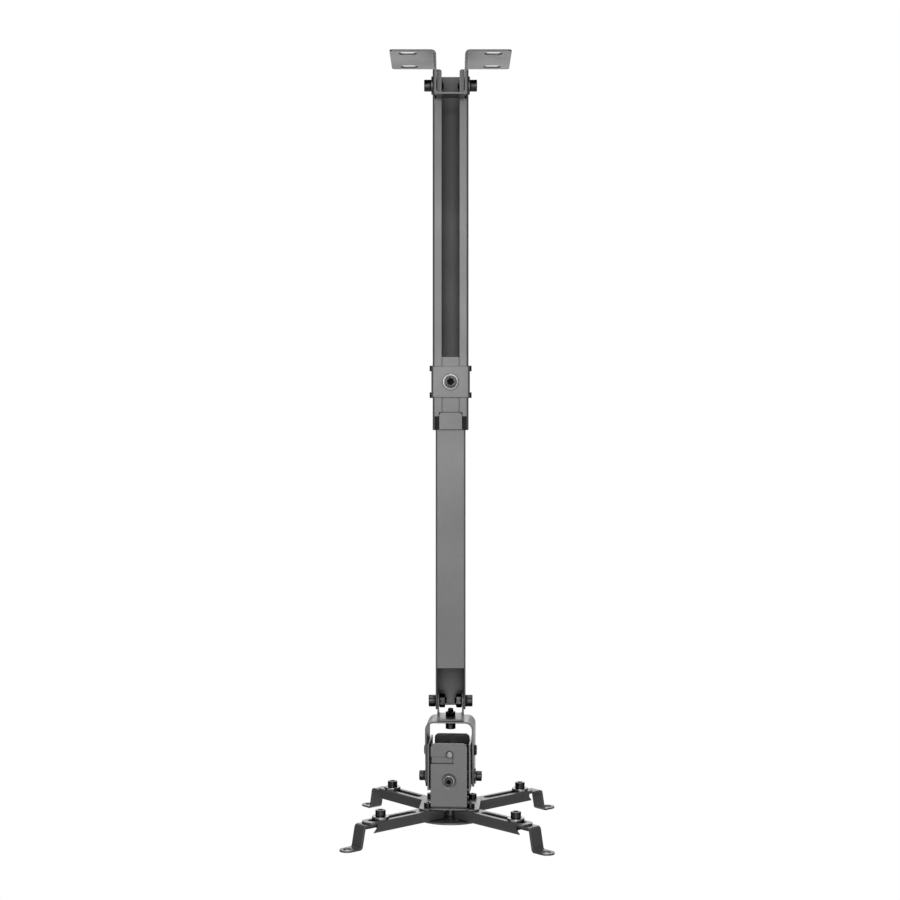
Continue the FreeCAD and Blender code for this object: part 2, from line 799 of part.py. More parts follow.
def yoke():
    body = new_body("yoke")
    half = "yoke_width / 2"
    inside = "yoke_inside"
    deep = "yoke_depth / 2"
    foot = "yoke_foot_depth / 2"
    add(body, "folded_strip", "XZ", f"-{deep}", deep, outline(
        (f"-{half}", "-yoke_end_drop"), (f"-{inside}", "-yoke_end_drop"),
        (f"-{inside}", "-yoke_under_drop"), (inside, "-yoke_under_drop"), (inside, "-yoke_end_drop"),
        (half, "-yoke_end_drop"), (half, "-yoke_top_drop"), (f"-{half}", "-yoke_top_drop")))
    round_edges(body, "inner_bends", "yoke_bend", 1, both_sides(inside, "-yoke_under_drop"))
    round_edges(body, "outer_bends", "yoke_bend + yoke_wall", 1, both_sides(half, "-yoke_top_drop"))
    cut(body, "arm_taper", "YZ", f"-{half}", half, *(
        outline((f"{side} * {deep}", "-yoke_taper_drop"), (f"{side} * {deep}", "-yoke_end_drop"),
                (f"{side} * {foot}", "-yoke_end_drop")) for side in (-1, 1)))
    round_edges(body, "arm_ends", "yoke_foot_corner", 0,
                [(f"-{foot}", "-yoke_end_drop"), (foot, "-yoke_end_drop")])
    cut(body, "pivot_holes", "YZ", f"-{half}", half,
        circle("0", "-pivot_drop", "(rivet_size + thread_gap) / 2"))
    cut(body, "tilt_slots", "YZ", f"-{half}", half,
        arc_slot("-pivot_drop", "tilt_radius", "tilt_angle + tilt_spare", "(medium_bolt + hole_gap) / 2"))
    cut(body, "swivel_hole", "XY", "-yoke_under_drop", "-yoke_top_drop",
        circle("0", "0", "(medium_bolt + hole_gap) / 2"))
    return finish(body, "yoke", turned_by(value("head_yaw")))


# The head: a folded box on the pivot rivets, and the hook bracket that hangs on its pin.

def head_box():
    body = new_body("head_box")
    half = "box_half"
    deep = "box_depth / 2"
    inside = "box_inside"
    skin = "box_depth / 2 - box_wall"
    floor = "box_wall - box_end_drop"
    slit = f"{inside} - box_corner_slit"
    add(body, "block", "XY", "-box_end_drop", "-box_top_drop", rectangle(f"-{half}", f"-{deep}", half, deep))
    cut(body, "hollow", "XY", floor, "-box_top_drop", rectangle(f"-{inside}", f"-({skin})", inside, skin))
    cut(body, "corner_slits", "XY", floor, "-box_top_drop",
        rectangle(f"-{inside}", f"-{deep}", f"-({slit})", f"-({skin})"),
        rectangle(slit, f"-{deep}", inside, f"-({skin})"),
        rectangle(f"-{inside}", skin, f"-({slit})", deep),
        rectangle(slit, skin, inside, deep))
    cut(body, "pin_holes", "XZ", f"-{deep}", deep,
        circle("pin_across", "-pin_drop", "(pin_size + thread_gap) / 2"))
    cut(body, "release_hole", "XZ", f"-{deep}", "0",
        circle("0", "-release_drop", "(small_bolt + hole_gap) / 2"))
    cut(body, "side_holes", "YZ", f"-{half}", half,
        circle("0", "-pivot_drop", "(rivet_size + hole_gap) / 2"),
        circle("0", "-tilt_bolt_drop", "(medium_bolt + hole_gap) / 2"))
    return finish(body, "head_box", turned_by(value("head_yaw")))


def hook_bracket():
    body = new_body("hook_bracket")
    half = "hook_width / 2"
    deep = "hook_spread / 2"
    inside = "hook_inside"
    web = "hook_wall - hook_end_drop"
    neck = "hook_web_width / 2"
    add(body, "folded_strip", "YZ", f"-{half}", half, outline(
        (f"-{deep}", "-hook_end_drop"), (deep, "-hook_end_drop"), (deep, "-hook_top_drop"),
        (inside, "-hook_top_drop"), (inside, web), (f"-{inside}", web), (f"-{inside}", "-hook_top_drop"),
        (f"-{deep}", "-hook_top_drop")))
    round_edges(body, "inner_bends", "hook_bend", 0, [(f"-{inside}", web), (inside, web)])
    round_edges(body, "outer_bends", "hook_bend + hook_wall", 0,
                [(f"-{deep}", "-hook_end_drop"), (deep, "-hook_end_drop")])
    round_edges(body, "top_corners", "hook_corner", 1, both_sides(half, "-hook_top_drop"))
    reach = "hook_spread / 2 - hook_bend - hook_wall"
    cut(body, "web_outline", "XY", "-hook_end_drop", f"{web} + hook_bend",
        rectangle(f"-{half}", f"-({reach})", f"-{neck}", reach),
        rectangle(neck, f"-({reach})", half, reach))
    cut(body, "low_corners", "XZ", f"-{deep}", deep, *(
        outline((f"{side} * ({half} - hook_low_corner)", "-hook_end_drop"),
                (f"{side} * {half}", "-hook_end_drop"),
                (f"{side} * {half}", "-hook_end_drop + hook_low_corner")) for side in (-1, 1)))
    bore = "pin_size / 2 + pin_gap"
    low = f"-hook_slot_drop - {bore}"
    high = f"-hook_slot_drop + {bore}"
    cut(body, "hook_slots", "XZ", f"-{deep}", deep, outline(
        (f"-{half} - overcut", low), (f"pin_across + {bore}", low), (f"pin_across + {bore}", "-pin_drop"),
        (f"pin_across - ({bore})", "-pin_drop"), (f"pin_across - ({bore})", high),
        (f"-{half} - overcut", high)))
    cut(body, "pin_seats", "XZ", f"-{deep}", deep, circle("pin_across", "-pin_drop", bore))
    cut(body, "release_hole", "XZ", f"-{deep}", "0",
        circle("0", "-release_drop", "(small_bolt + hole_gap) / 2"))
    cut(body, "release_recess", "XZ", f"-{deep}", f"-{deep} + recess_depth",
        circle("0", "-release_drop", "recess_size / 2"))
    cut(body, "hub_hole", "XY", "-hook_end_drop", web, circle("0", "0", "(medium_bolt + hole_gap) / 2"))
    return finish(body, "hook_bracket", turned_by(value("head_yaw")))


def hook_pin():
    body = new_body("hook_pin")
    reach = "hook_spread / 2 + pin_reach"
    add(body, "pin", "XZ", f"-({reach})", reach, circle("pin_across", "-pin_drop", "pin_size / 2"))
    plain = body.Tip
    ends = [f"Edge{number}" for number, edge in enumerate(plain.Shape.Edges, start=1)
            if isinstance(edge.Curve, Part.Circle)]
    chamfer = body.newObject("PartDesign::Chamfer", "pin_ends")
    chamfer.Base = (plain, ends)
    chamfer.setExpression("Size", bound("head_chamfer"))
    doc.recompute()
    return finish(body, "hook_pin", turned_by(value("head_yaw")))


# The hub: a square base plate above the arms and a round plate below them, on a spacer.

def pivot_spots():
    """Where the arm pivots lie on the head, before it is turned."""
    return [(f"pivot_circle / 2 * cos({angle})", f"pivot_circle / 2 * sin({angle})")
            for angle in CORNERS.values()]


def pivot_holes():
    return [circle(x, y, "(small_bolt + hole_gap) / 2") for x, y in pivot_spots()]


def base_plate():
    body = new_body("base_plate")
    half = "base_width / 2"
    deep = "base_depth / 2"
    add(body, "plate", "XY", "-base_end_drop", "-hook_end_drop",
        rectangle(f"-{half}", f"-{deep}", half, deep))
    round_edges(body, "corners", "base_corner", 2,
                [(f"{side} * {half}", f"{end} * {deep}") for side in (-1, 1) for end in (-1, 1)])
    cut(body, "holes", "XY", "-base_end_drop", "-hook_end_drop",
        circle("0", "0", "(medium_bolt + hole_gap) / 2"), *pivot_holes())
    relief = "base_relief_width / 2"
    cut(body, "edge_reliefs", "XY", "-base_end_drop", "-hook_end_drop",
        rectangle(f"-{relief}", f"-{deep}", relief, f"-{deep} + base_relief_depth"),
        rectangle(f"-{relief}", f"{deep} - base_relief_depth", relief, deep))
    return finish(body, "base_plate", turned_by(value("head_yaw")))


def hub_plate():
    body = new_body("hub_plate")
    add(body, "disc", "XY", "-hub_end_drop", "-hub_top_drop", circle("0", "0", "hub_size / 2"))
    cut(body, "holes", "XY", "-hub_end_drop", "-hub_top_drop",
        circle("0", "0", "(medium_bolt + hole_gap) / 2"), *pivot_holes())
    return finish(body, "hub_plate", turned_by(value("head_yaw")))


def hub_spacer():
    body = new_body("hub_spacer")
    add(body, "sleeve", "XY", "-hub_top_drop", "-base_end_drop",
        ring_sketch("(medium_bolt + hole_gap) / 2", "spacer_size / 2"))
    return finish(body, "hub_spacer")


# An arm: a channel open below with a slotted web, modelled with its pivot at the origin, pointing along +X.

def arm(corner):
    label = "arm_" + corner
    body = new_body(label)
    half = "arm_width / 2"
    inside = "arm_width / 2 - arm_wall"
    add(body, "channel", "YZ", "-arm_tail", "arm_reach", outline(
        (f"-{half}", "-arm_end_drop"), (f"-({inside})", "-arm_end_drop"),
        (f"-({inside})", "-arm_under_drop"), (inside, "-arm_under_drop"), (inside, "-arm_end_drop"),
        (half, "-arm_end_drop"), (half, "-base_end_drop"), (f"-{half}", "-base_end_drop")))
    round_edges(body, "outer_bends", "arm_bend + arm_wall", 0,
                [(f"-{half}", "-base_end_drop"), (half, "-base_end_drop")])
    round_edges(body, "inner_bends", "arm_bend", 0,
                [(f"-({inside})", "-arm_under_drop"), (inside, "-arm_under_drop")])
    cut(body, "flange_ends", "XZ", f"-{half}", half, outline(
        ("arm_flange_reach", "-arm_under_drop"), ("arm_flange_reach", "-arm_end_drop + arm_toe"),
        ("arm_flange_reach + arm_toe", "-arm_end_drop"), ("arm_reach", "-arm_end_drop"),
        ("arm_reach", "-arm_under_drop")))
    cut(body, "tongue", "XY", "-arm_under_drop", "-base_end_drop", beyond_tongue("arm_width / 2"))
    cut(body, "long_slot", "XY", "-arm_under_drop", "-base_end_drop",
        slot("arm_slot_start", "arm_slot_end", "0", "arm_slot_width / 2"),
        circle("0", "0", "(small_bolt + hole_gap) / 2"))
    return finish(body, label, arm_place(corner, "0"))


def beyond_tongue(radius):
    """The waste round the half circle in which an arm's web ends."""
    def draw(sketch):
        centre = f"arm_reach - {radius}"
        far = "arm_reach + overcut"
        wide = f"{radius} + overcut"
        points = [(centre, radius), (centre, wide), (far, wide), (far, f"-({wide})"), (centre, f"-({wide})"),
                  (centre, f"-({radius})")]
        corners = [FreeCAD.Vector(value(x), value(y), 0) for x, y in points]
        hub = FreeCAD.Vector(value(centre), 0, 0)
        arc = Part.Circle(hub, FreeCAD.Vector(0, 0, 1), value(radius))
        sketch.addGeometry(Part.ArcOfCircle(arc, -math.pi / 2, math.pi / 2), False)
        for start, end in zip(corners, corners[1:]):
            sketch.addGeometry(Part.LineSegment(start, end), False)
        for index, (x, y) in enumerate(points[:-1], start=1):
            pin(sketch, index, 1, x, y)
            sketch.addConstraint(Sketcher.Constraint("Coincident", index - 1, 2, index, 1))
        last = len(points) - 1
        pin(sketch, last, 2, *points[-1])
        sketch.addConstraint(Sketcher.Constraint("Coincident", last, 2, 0, 1))
        pin_across(sketch, 0, centre)
    return draw


def arm_place(corner, reach):
    """The frame of an arm's pivot, or of a point that far out along the arm."""
    nominal = CORNERS[corner] + value("head_yaw")
    heading = nominal + value("swing_" + corner)
    pivot = value("pivot_circle / 2")
    out = value(reach)
    x = pivot * math.cos(math.radians(nominal)) + out * math.cos(math.radians(heading))
    y = pivot * math.sin(math.radians(nominal)) + out * math.sin(math.radians(heading))
    return FreeCAD.Placement(FreeCAD.Vector(x, y, 0), FreeCAD.Rotation(FreeCAD.Vector(0, 0, 1), heading))


# A leg: a strip folded twice, modelled with its bolt at the origin and its foot along +X.

def leg(corner):
    label = "leg_" + corner
    body = new_body(label)
    top = "-leg_top_drop"
    under = "-leg_under_drop"
    ground = "-foot_drop"
    sole = "leg_wall - foot_drop"
    outer = "leg_shoulder + leg_wall"
    shift = "leg_shoulder + leg_lean"
    add(body, "folded_strip", "XZ", "-leg_width / 2", "leg_width / 2", outline(
        ("-leg_tail", under), ("-leg_tail", top), (outer, top), (f"{shift} + leg_wall", sole),
        ("leg_tip", sole), ("leg_tip", ground), (shift, ground), ("leg_shoulder", under)))
    round_edges(body, "inner_bends", "leg_bend", 1,
                [("leg_shoulder", under), (f"{shift} + leg_wall", sole)])
    round_edges(body, "outer_bends", "leg_bend + leg_wall", 1, [(outer, top), (shift, ground)])
    cut(body, "foot_hole", "XY", ground, sole, circle("leg_hole_reach", "0", "foot_hole / 2"))
    cut(body, "bolt_hole", "XY", under, top, circle("0", "0", "(medium_bolt + hole_gap) / 2"))
    tips = [(end, f"{side} * leg_width / 2") for end in ("leg_tip", "-leg_tail") for side in (-1, 1)]
    round_edges(body, "round_ends", "leg_width / 2 - round_margin", 2, tips)
    return finish(body, label, arm_place(corner, "place_" + corner))


def master_rivet():
    """A rivet that the head tilts on, formed over inside the box."""
    body = new_body("pivot_rivet")
    shank = "rivet_size / 2"
    head = "rivet_head / 2"
    rim = "rivet_head / 2 - head_chamfer"
    length = "yoke_width / 2 - box_inside + turn_gap"
    tail = f"{length} + rivet_tail_height"
    turn(body, "turned", [
        ("0", f"-({tail})"), (rim, f"-({tail})"), (rim, f"-({length})"),
        (shank, f"-({length})"), (shank, "0"), (head, "0"), (head, "rivet_head_height - head_chamfer"),
        (rim, "rivet_head_height"), ("0", "rivet_head_height")])
    return body


def yawed(copies):
    """The same copies, turned with the head about the pole."""
    spin = turned_by(value("head_yaw"))
    return [(master, spin.multiply(placement)) for master, placement in copies]


def fasteners():
    """Every screw, washer and nut, placed from where the parts that they hold lie."""
    wall_pair = "tube_wall + bracket_gap + bracket_wall"
    bracket_length = f"large_washer_wall + {wall_pair} + large_nut_height + bolt_end"
    bracket_bolt = master_bolt("bracket_bolt", "large", bracket_length)
    large_washer = master_washer("large_washer", "large", "large_washer", "large_washer_wall")
    large_nut = master_nut("large_nut", "large")
    place_group("bracket_bolts", *left_and_right(
        bracket_bolt, "tube_width / 2 + large_washer_wall", "0", "-bracket_bolt_drop"))
    place_group("bracket_washers", *left_and_right(
        large_washer, "tube_width / 2", "0", "-bracket_bolt_drop"))
    place_group("bracket_nuts", *left_and_right(
        large_nut, "bracket_inside", "0", "-bracket_bolt_drop", outward=False))

    front = "clamp_front"
    clamp_screw = master_bolt("clamp_screw_master", "large",
                              f"clamp_washer_wall + {front} - inner_depth / 2 - slide_gap")
    clamp_washer = master_washer("clamp_washer_master", "large", "clamp_washer_size", "clamp_washer_wall")
    clamp_nut = master_nut("clamp_nut_master", "large", "clamp_nut_height")
    place_group("clamp_screw", (clamp_screw, at(
        "0", f"-({front}) - clamp_washer_wall", "-clamp_screw_drop", "front")))
    place_group("clamp_washer", (clamp_washer, at("0", f"-({front})", "-clamp_screw_drop", "front")))
    place_group("clamp_nut", (clamp_nut, at(
        "0", f"-({front}) + clamp_wall + clamp_nut_height", "-clamp_screw_drop", "front")))

    fork_bolt = master_bolt("fork_bolt", "large", "fork_bolt_length")
    place_group("fork_bolts", *left_and_right(fork_bolt, "inner_width / 2", "0", "-fork_pivot_drop"))
    place_group("fork_nuts", *left_and_right(
        large_nut, "fork_half - fork_wall - turn_gap", "0", "-fork_pivot_drop", outward=False))

    stack = "turn_gap + medium_washer_wall + spring_washer_wall"
    swivel_length = f"yoke_under_drop + {stack} - fork_web_drop + swivel_stud"
    swivel_bolt = master_bolt("swivel_bolt_master", "medium", swivel_length)
    swivel_washer = master_washer("swivel_washer", "medium", "swivel_washer_size", "medium_washer_wall")
    spring_washer = master_spring_washer("spring_washer", "medium")
    medium_nut = master_nut("medium_nut", "medium")
    place_group("swivel_bolt", (swivel_bolt, at("0", "0", f"-yoke_under_drop - ({stack})", "down")))
    place_group("swivel_washers",
                (swivel_washer, at("0", "0", "-yoke_under_drop - turn_gap", "down")),
                (spring_washer, at("0", "0", "-yoke_under_drop - turn_gap - medium_washer_wall", "down")))
    place_group("swivel_nut", (medium_nut, at("0", "0", "-fork_web_drop")))

    place_group("pivot_rivets", *yawed(left_and_right(
        master_rivet(), "yoke_width / 2", "0", "-pivot_drop")))
    seat = "yoke_width / 2 + turn_gap"
    tilt_length = f"medium_washer_wall + {seat} - box_inside + medium_nut_height + bolt_end"
    tilt_bolt = master_bolt("tilt_bolt", "medium", tilt_length)
    tilt_washer = master_washer("tilt_washer", "medium", "medium_washer", "medium_washer_wall")
    place_group("tilt_bolts", *yawed(left_and_right(
        tilt_bolt, f"{seat} + medium_washer_wall", "0", "-tilt_bolt_drop")))
    place_group("tilt_washers", *yawed(left_and_right(tilt_washer, seat, "0", "-tilt_bolt_drop")))
    place_group("tilt_nuts", *yawed(left_and_right(
        medium_nut, "box_inside", "0", "-tilt_bolt_drop", outward=False)))

    face = "hook_spread / 2 - recess_depth"
    release_length = f"small_washer_wall + {face} - box_depth / 2 + box_wall + small_nut_height + bolt_end"
    release_screw = master_bolt("release_screw_master", "small", release_length)
    release_washer = master_washer(
        "release_washer_master", "small", "release_washer_size", "small_washer_wall")
    small_nut = master_nut("small_nut", "small")
    place_group("release_screw", *yawed([
        (release_screw, at("0", f"-({face}) - small_washer_wall", "-release_drop", "front"))]))
    place_group("release_washer", *yawed([
        (release_washer, at("0", f"-({face})", "-release_drop", "front"))]))
    place_group("release_nut", *yawed([
        (small_nut, at("0", "-box_depth / 2 + box_wall + small_nut_height", "-release_drop", "front"))]))

    hub_stack = "hub_end_drop - hook_end_drop + hook_wall"
    hub_bolt = master_bolt("hub_bolt_master", "medium", f"{hub_stack} + medium_nut_height + bolt_end")
    place_group("hub_bolt", *yawed([(hub_bolt, at("0", "0", "-hub_end_drop", "down"))]))
    place_group("hub_nut", *yawed([(medium_nut, at("0", "0", "hook_wall - hook_end_drop"))]))
    pivot_bolt = master_bolt("arm_pivot_bolt", "small", "hub_end_drop - hook_end_drop")
    place_group("arm_pivot_bolts", *yawed([
        (pivot_bolt, at(x, y, "-hook_end_drop")) for x, y in pivot_spots()]))
    place_group("arm_pivot_nuts", *yawed([
        (small_nut, at(x, y, "-arm_under_drop - small_nut_height")) for x, y in pivot_spots()]))

    leg_washer = master_washer("leg_washer", "medium", "leg_washer_size", "leg_washer_wall")
    leg_grip = "leg_washer_wall + spring_washer_wall + leg_under_drop - base_end_drop"
    leg_bolt = master_bolt("leg_bolt", "medium", f"{leg_grip} + medium_nut_height + bolt_end")
    for corner in CORNERS:
        frame = arm_place(corner, "place_" + corner)
        seat = "-base_end_drop + leg_washer_wall"
        place_group("leg_bolt_" + corner,
                    (leg_bolt, frame.multiply(at("0", "0", f"{seat} + spring_washer_wall"))))
        place_group("leg_washers_" + corner,
                    (leg_washer, frame.multiply(at("0", "0", "-base_end_drop"))),
                    (spring_washer, frame.multiply(at("0", "0", seat))))
        place_group("leg_nut_" + corner,
                    (medium_nut, frame.multiply(at("0", "0", "-leg_under_drop - medium_nut_height"))))


def check():
    """Stop if any feature failed or any node has no sound shape."""
    for item in doc.Objects:
        if "Invalid" in item.State or "Error" in item.State:
            raise RuntimeError(f"{item.Label} failed: {item.State}")
    for node in nodes:
        if node.Shape.isNull() or not node.Shape.isValid():
            raise RuntimeError(f"{node.Label} has no sound shape")


def export():
    os.makedirs("parts", exist_ok=True)
    for node in nodes:
        node.Shape.exportStep(f"parts/{node.Label}.step")


fill_sheets()
ceiling_bracket()
outer_tube()
clamp_sleeve()
guide_pad("guide_pad_left", -1)
guide_pad("guide_pad_right", 1)
mouth_bush()
mouth_plate()
inner_tube()
fork()
yoke()
head_box()
hook_bracket()
hook_pin()
base_plate()
hub_plate()
hub_spacer()
for corner in CORNERS:
    arm(corner)
    leg(corner)
fasteners()
doc.recompute()
check()
export()
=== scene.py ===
import json
import logging
import math
from dataclasses import dataclass, field
from enum import Enum
from typing import Any, Iterable, Sequence

import bmesh
import bpy
from mathutils import Matrix, Vector


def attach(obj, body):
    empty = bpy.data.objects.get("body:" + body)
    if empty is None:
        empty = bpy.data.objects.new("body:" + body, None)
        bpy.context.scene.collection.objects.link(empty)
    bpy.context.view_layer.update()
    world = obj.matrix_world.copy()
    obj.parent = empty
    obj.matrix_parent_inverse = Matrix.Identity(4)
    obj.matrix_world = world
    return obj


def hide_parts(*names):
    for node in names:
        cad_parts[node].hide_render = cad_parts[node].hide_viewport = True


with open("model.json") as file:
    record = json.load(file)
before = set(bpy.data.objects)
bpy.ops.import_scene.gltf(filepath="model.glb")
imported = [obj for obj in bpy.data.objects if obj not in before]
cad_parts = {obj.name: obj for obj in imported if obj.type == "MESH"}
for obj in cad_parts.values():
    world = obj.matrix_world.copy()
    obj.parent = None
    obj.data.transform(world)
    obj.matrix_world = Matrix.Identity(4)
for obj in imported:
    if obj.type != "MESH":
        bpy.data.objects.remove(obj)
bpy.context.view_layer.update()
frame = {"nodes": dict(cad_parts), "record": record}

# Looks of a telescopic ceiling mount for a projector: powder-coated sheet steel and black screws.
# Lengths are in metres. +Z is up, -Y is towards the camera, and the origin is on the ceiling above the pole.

log = logging.getLogger("ceiling_mount")

MM = 0.001
HEAD_YAW = math.radians(-3.6)
WHITE = (1.0, 1.0, 1.0, 1.0)
FREE_SKY = 0.85  # the share of the sky in view at which a point counts as open
NOISE_SPAN = (0.3, 0.7)  # where nearly all values of a noise lie
SAME = 0.001 * MM  # how near vertices of a finished piece are when they are one
CLOSE = 0.002 * MM  # and those of a CAD mesh

Colour = tuple[float, float, float, float]


class Corner(Enum):
    """The four arms, by where they point."""

    FRONT_LEFT = "front_left"
    FRONT_RIGHT = "front_right"
    REAR_LEFT = "rear_left"
    REAR_RIGHT = "rear_right"


class Aim(Enum):
    """Which way a fastener's head or its far face points."""

    UP = "up"
    DOWN = "down"
    FRONT = "front"
    OUTWARD = "outward"
    INWARD = "inward"


class Form(Enum):
    """How a turned part's radius changes round its axis at one point of its section."""

    ROUND = 0
    KNURLED = 1
    HEXAGONAL = 2
    THREADED = 3


class Kind(Enum):
    """The kinds of fastener on the mount."""

    CAP_SCREW = "cap screw"
    NUT = "nut"
    WASHER = "washer"
    RIVET = "rivet"
    PIN = "pin"


@dataclass(frozen=True)
class Thread:
    """One metric thread size and the fasteners that go with it."""

    diameter: float
    pitch: float
    head: float
    head_height: float
    socket: float
    nut: float

    @property
    def depth(self) -> float:
        """How deep the thread is cut."""
        return 0.6 * self.pitch


class Grade(Enum):
    """The three thread sizes used on the mount."""

    LARGE = Thread(6 * MM, 1.0 * MM, 10 * MM, 6 * MM, 5 * MM, 10 * MM)
    MEDIUM = Thread(5 * MM, 0.8 * MM, 8.5 * MM, 5 * MM, 4 * MM, 8 * MM)
    SMALL = Thread(4 * MM, 0.7 * MM, 7 * MM, 4 * MM, 3 * MM, 7 * MM)


class Graph:
    """A shader or geometry node tree with short ways to add to it."""

    def __init__(self, tree: bpy.types.NodeTree) -> None:
        """Start from an empty tree.

        Args:
            tree: The tree to fill.
        """
        self.tree = tree
        tree.nodes.clear()

    def add(self, kind: str, inputs: dict[Any, Any] | None = None, **settings: Any) -> bpy.types.Node:
        """Add a node, with its settings made and its inputs set or linked.

        Args:
            kind: The node's type name.
            inputs: Values or sockets, by the input's name or number.
            **settings: The node's own properties.

        Returns:
            The new node.
        """
        node = self.tree.nodes.new(kind)
        for name, setting in settings.items():
            setattr(node, name, setting)
        for key, value in (inputs or {}).items():
            if isinstance(value, bpy.types.NodeSocket):
                self.tree.links.new(value, node.inputs[key])
            else:
                node.inputs[key].default_value = value
        return node

    def math(self, operation: str, *values: Any) -> bpy.types.NodeSocket:
        """Add one sum and give its result.

        Args:
            operation: The Math node's operation.
            *values: Numbers or sockets.

        Returns:
            The output socket.
        """
        return self.add("ShaderNodeMath", dict(enumerate(values)), operation=operation).outputs[0]

    def mix(self, share: Any, first: Any, second: Any) -> bpy.types.NodeSocket:
        """Mix two colours and give the result. A share of 1 gives the second one."""
        return self.add("ShaderNodeMix", {"Factor": share, 6: first, 7: second}, data_type="RGBA").outputs[2]

    def ranged(self, value: Any, start: float, end: float, low: float = 0.0,
               high: float = 1.0) -> bpy.types.NodeSocket:
        """Map a value's run from start to end onto low to high, held at both ends."""
        return self.add("ShaderNodeMapRange", {0: value, 1: start, 2: end, 3: low, 4: high}).outputs[0]


def new_material(name: str) -> tuple[bpy.types.Material, Graph]:
    """Make an empty node material.

    Args:
        name: What the finish is called.

    Returns:
        The material and its tree.
    """
    material = bpy.data.materials.new(name)
    material.use_nodes = True
    return material, Graph(material.node_tree)


def openness(graph: Graph, reach: float, floor: float, own: bool, shut: float = 0.15) -> bpy.types.NodeSocket:
    """Tell how open a point lies: 1 on a free face, and less down a recess or by a joint.

    Args:
        graph: The material's tree.
        reach: How far off a wall still counts.
        floor: The share left in the deepest corner.
        own: Whether only the piece's own walls count.
        shut: The share of the sky in view at which a point counts as the deepest corner.

    Returns:
        The share.
    """
    node = graph.add("ShaderNodeAmbientOcclusion", {"Distance": reach}, samples=8, only_local=own)
    return graph.ranged(node.outputs["AO"], shut, FREE_SKY, floor)


@dataclass(frozen=True)
class PowderCoat:
    """Satin powder paint on sheet steel with a fine orange peel, a painted highlight on convex edges, and
    painted shade in recesses and by joints.
    """

    name: str = "powder_coat"
    dark: Colour = (0.046, 0.046, 0.047, 1.0)
    light: Colour = (0.064, 0.064, 0.066, 1.0)
    # the colour of the painted highlight on convex edges
    wear_and_edge_highlight: Colour = (0.12, 0.12, 0.123, 1.0)
    # the near-black colour of the painted shade in recesses and by joints
    recess_and_joint_shade: Colour = (0.012, 0.012, 0.012, 1.0)
    peel_scale: float = 1300.0
    peel_span: tuple[float, float] = (0.34, 0.66)
    drift_scale: float = 18.0
    roughness: tuple[float, float] = (0.3, 0.4)
    bump: float = 0.2
    sheen: float = 0.75
    edge_radius: float = 0.35 * MM
    # where across an edge the painted highlight starts and ends, and how strong it is at most
    edge_highlight_span: tuple[float, float] = (0.97, 0.75)
    edge_highlight_strength: float = 0.6
    # how far and how dark the painted shade reaches in the piece's own recesses and in gaps by other parts
    recess_depth: float = 45 * MM
    recess_share: float = 0.08
    joint_depth: float = 2.5 * MM
    joint_share: float = 0.1

    def material(self) -> bpy.types.Material:
        """Build the paint.

        Returns:
            The finished material.
        """
        material, graph = new_material(self.name)
        place = graph.add("ShaderNodeTexCoord").outputs["Object"]
        peel = graph.add("ShaderNodeTexNoise", {
            "Vector": place, "Scale": self.peel_scale, "Detail": 3.0, "Roughness": 0.65}).outputs[0]
        drift = graph.add("ShaderNodeTexNoise", {
            "Vector": place, "Scale": self.drift_scale, "Detail": 4.0}).outputs[0]
        tone = graph.mix(graph.ranged(peel, *self.peel_span), self.dark, self.light)
        # Painted highlight: where the bevelled normal turns away from the true one, on convex edges, the
        # colour is mixed towards the lighter edge colour.
        soft = graph.add("ShaderNodeBevel", {"Radius": self.edge_radius}, samples=4).outputs[0]
        true = graph.add("ShaderNodeNewGeometry").outputs["Normal"]
        apart = graph.add("ShaderNodeVectorMath", {0: soft, 1: true}, operation="DOT_PRODUCT").outputs[1]
        edge = graph.ranged(apart, *self.edge_highlight_span, 0.0, self.edge_highlight_strength)
        colour = graph.mix(edge, tone, self.wear_and_edge_highlight)
        # Painted shade: down the piece's own recesses and in narrow gaps by other parts, the colour is mixed
        # towards near black and the sheen is lowered by the same share.
        unshaded_share = graph.math("MULTIPLY", openness(graph, self.recess_depth, self.recess_share, True),
                           openness(graph, self.joint_depth, self.joint_share, False))
        colour_with_painted_shade = graph.mix(unshaded_share, self.recess_and_joint_shade, colour)
        rough = graph.ranged(drift, *NOISE_SPAN, *self.roughness)
        bump = graph.add("ShaderNodeBump", {
            "Strength": self.bump, "Distance": 0.06 * MM, "Height": peel, "Normal": soft}).outputs[0]
        surface = graph.add("ShaderNodeBsdfPrincipled", {
            "Base Color": colour_with_painted_shade, "Roughness": rough, "Normal": bump,
            "Specular IOR Level": graph.math("MULTIPLY", unshaded_share, self.sheen)})
        graph.add("ShaderNodeOutputMaterial", {"Surface": surface.outputs[0]})
        return material


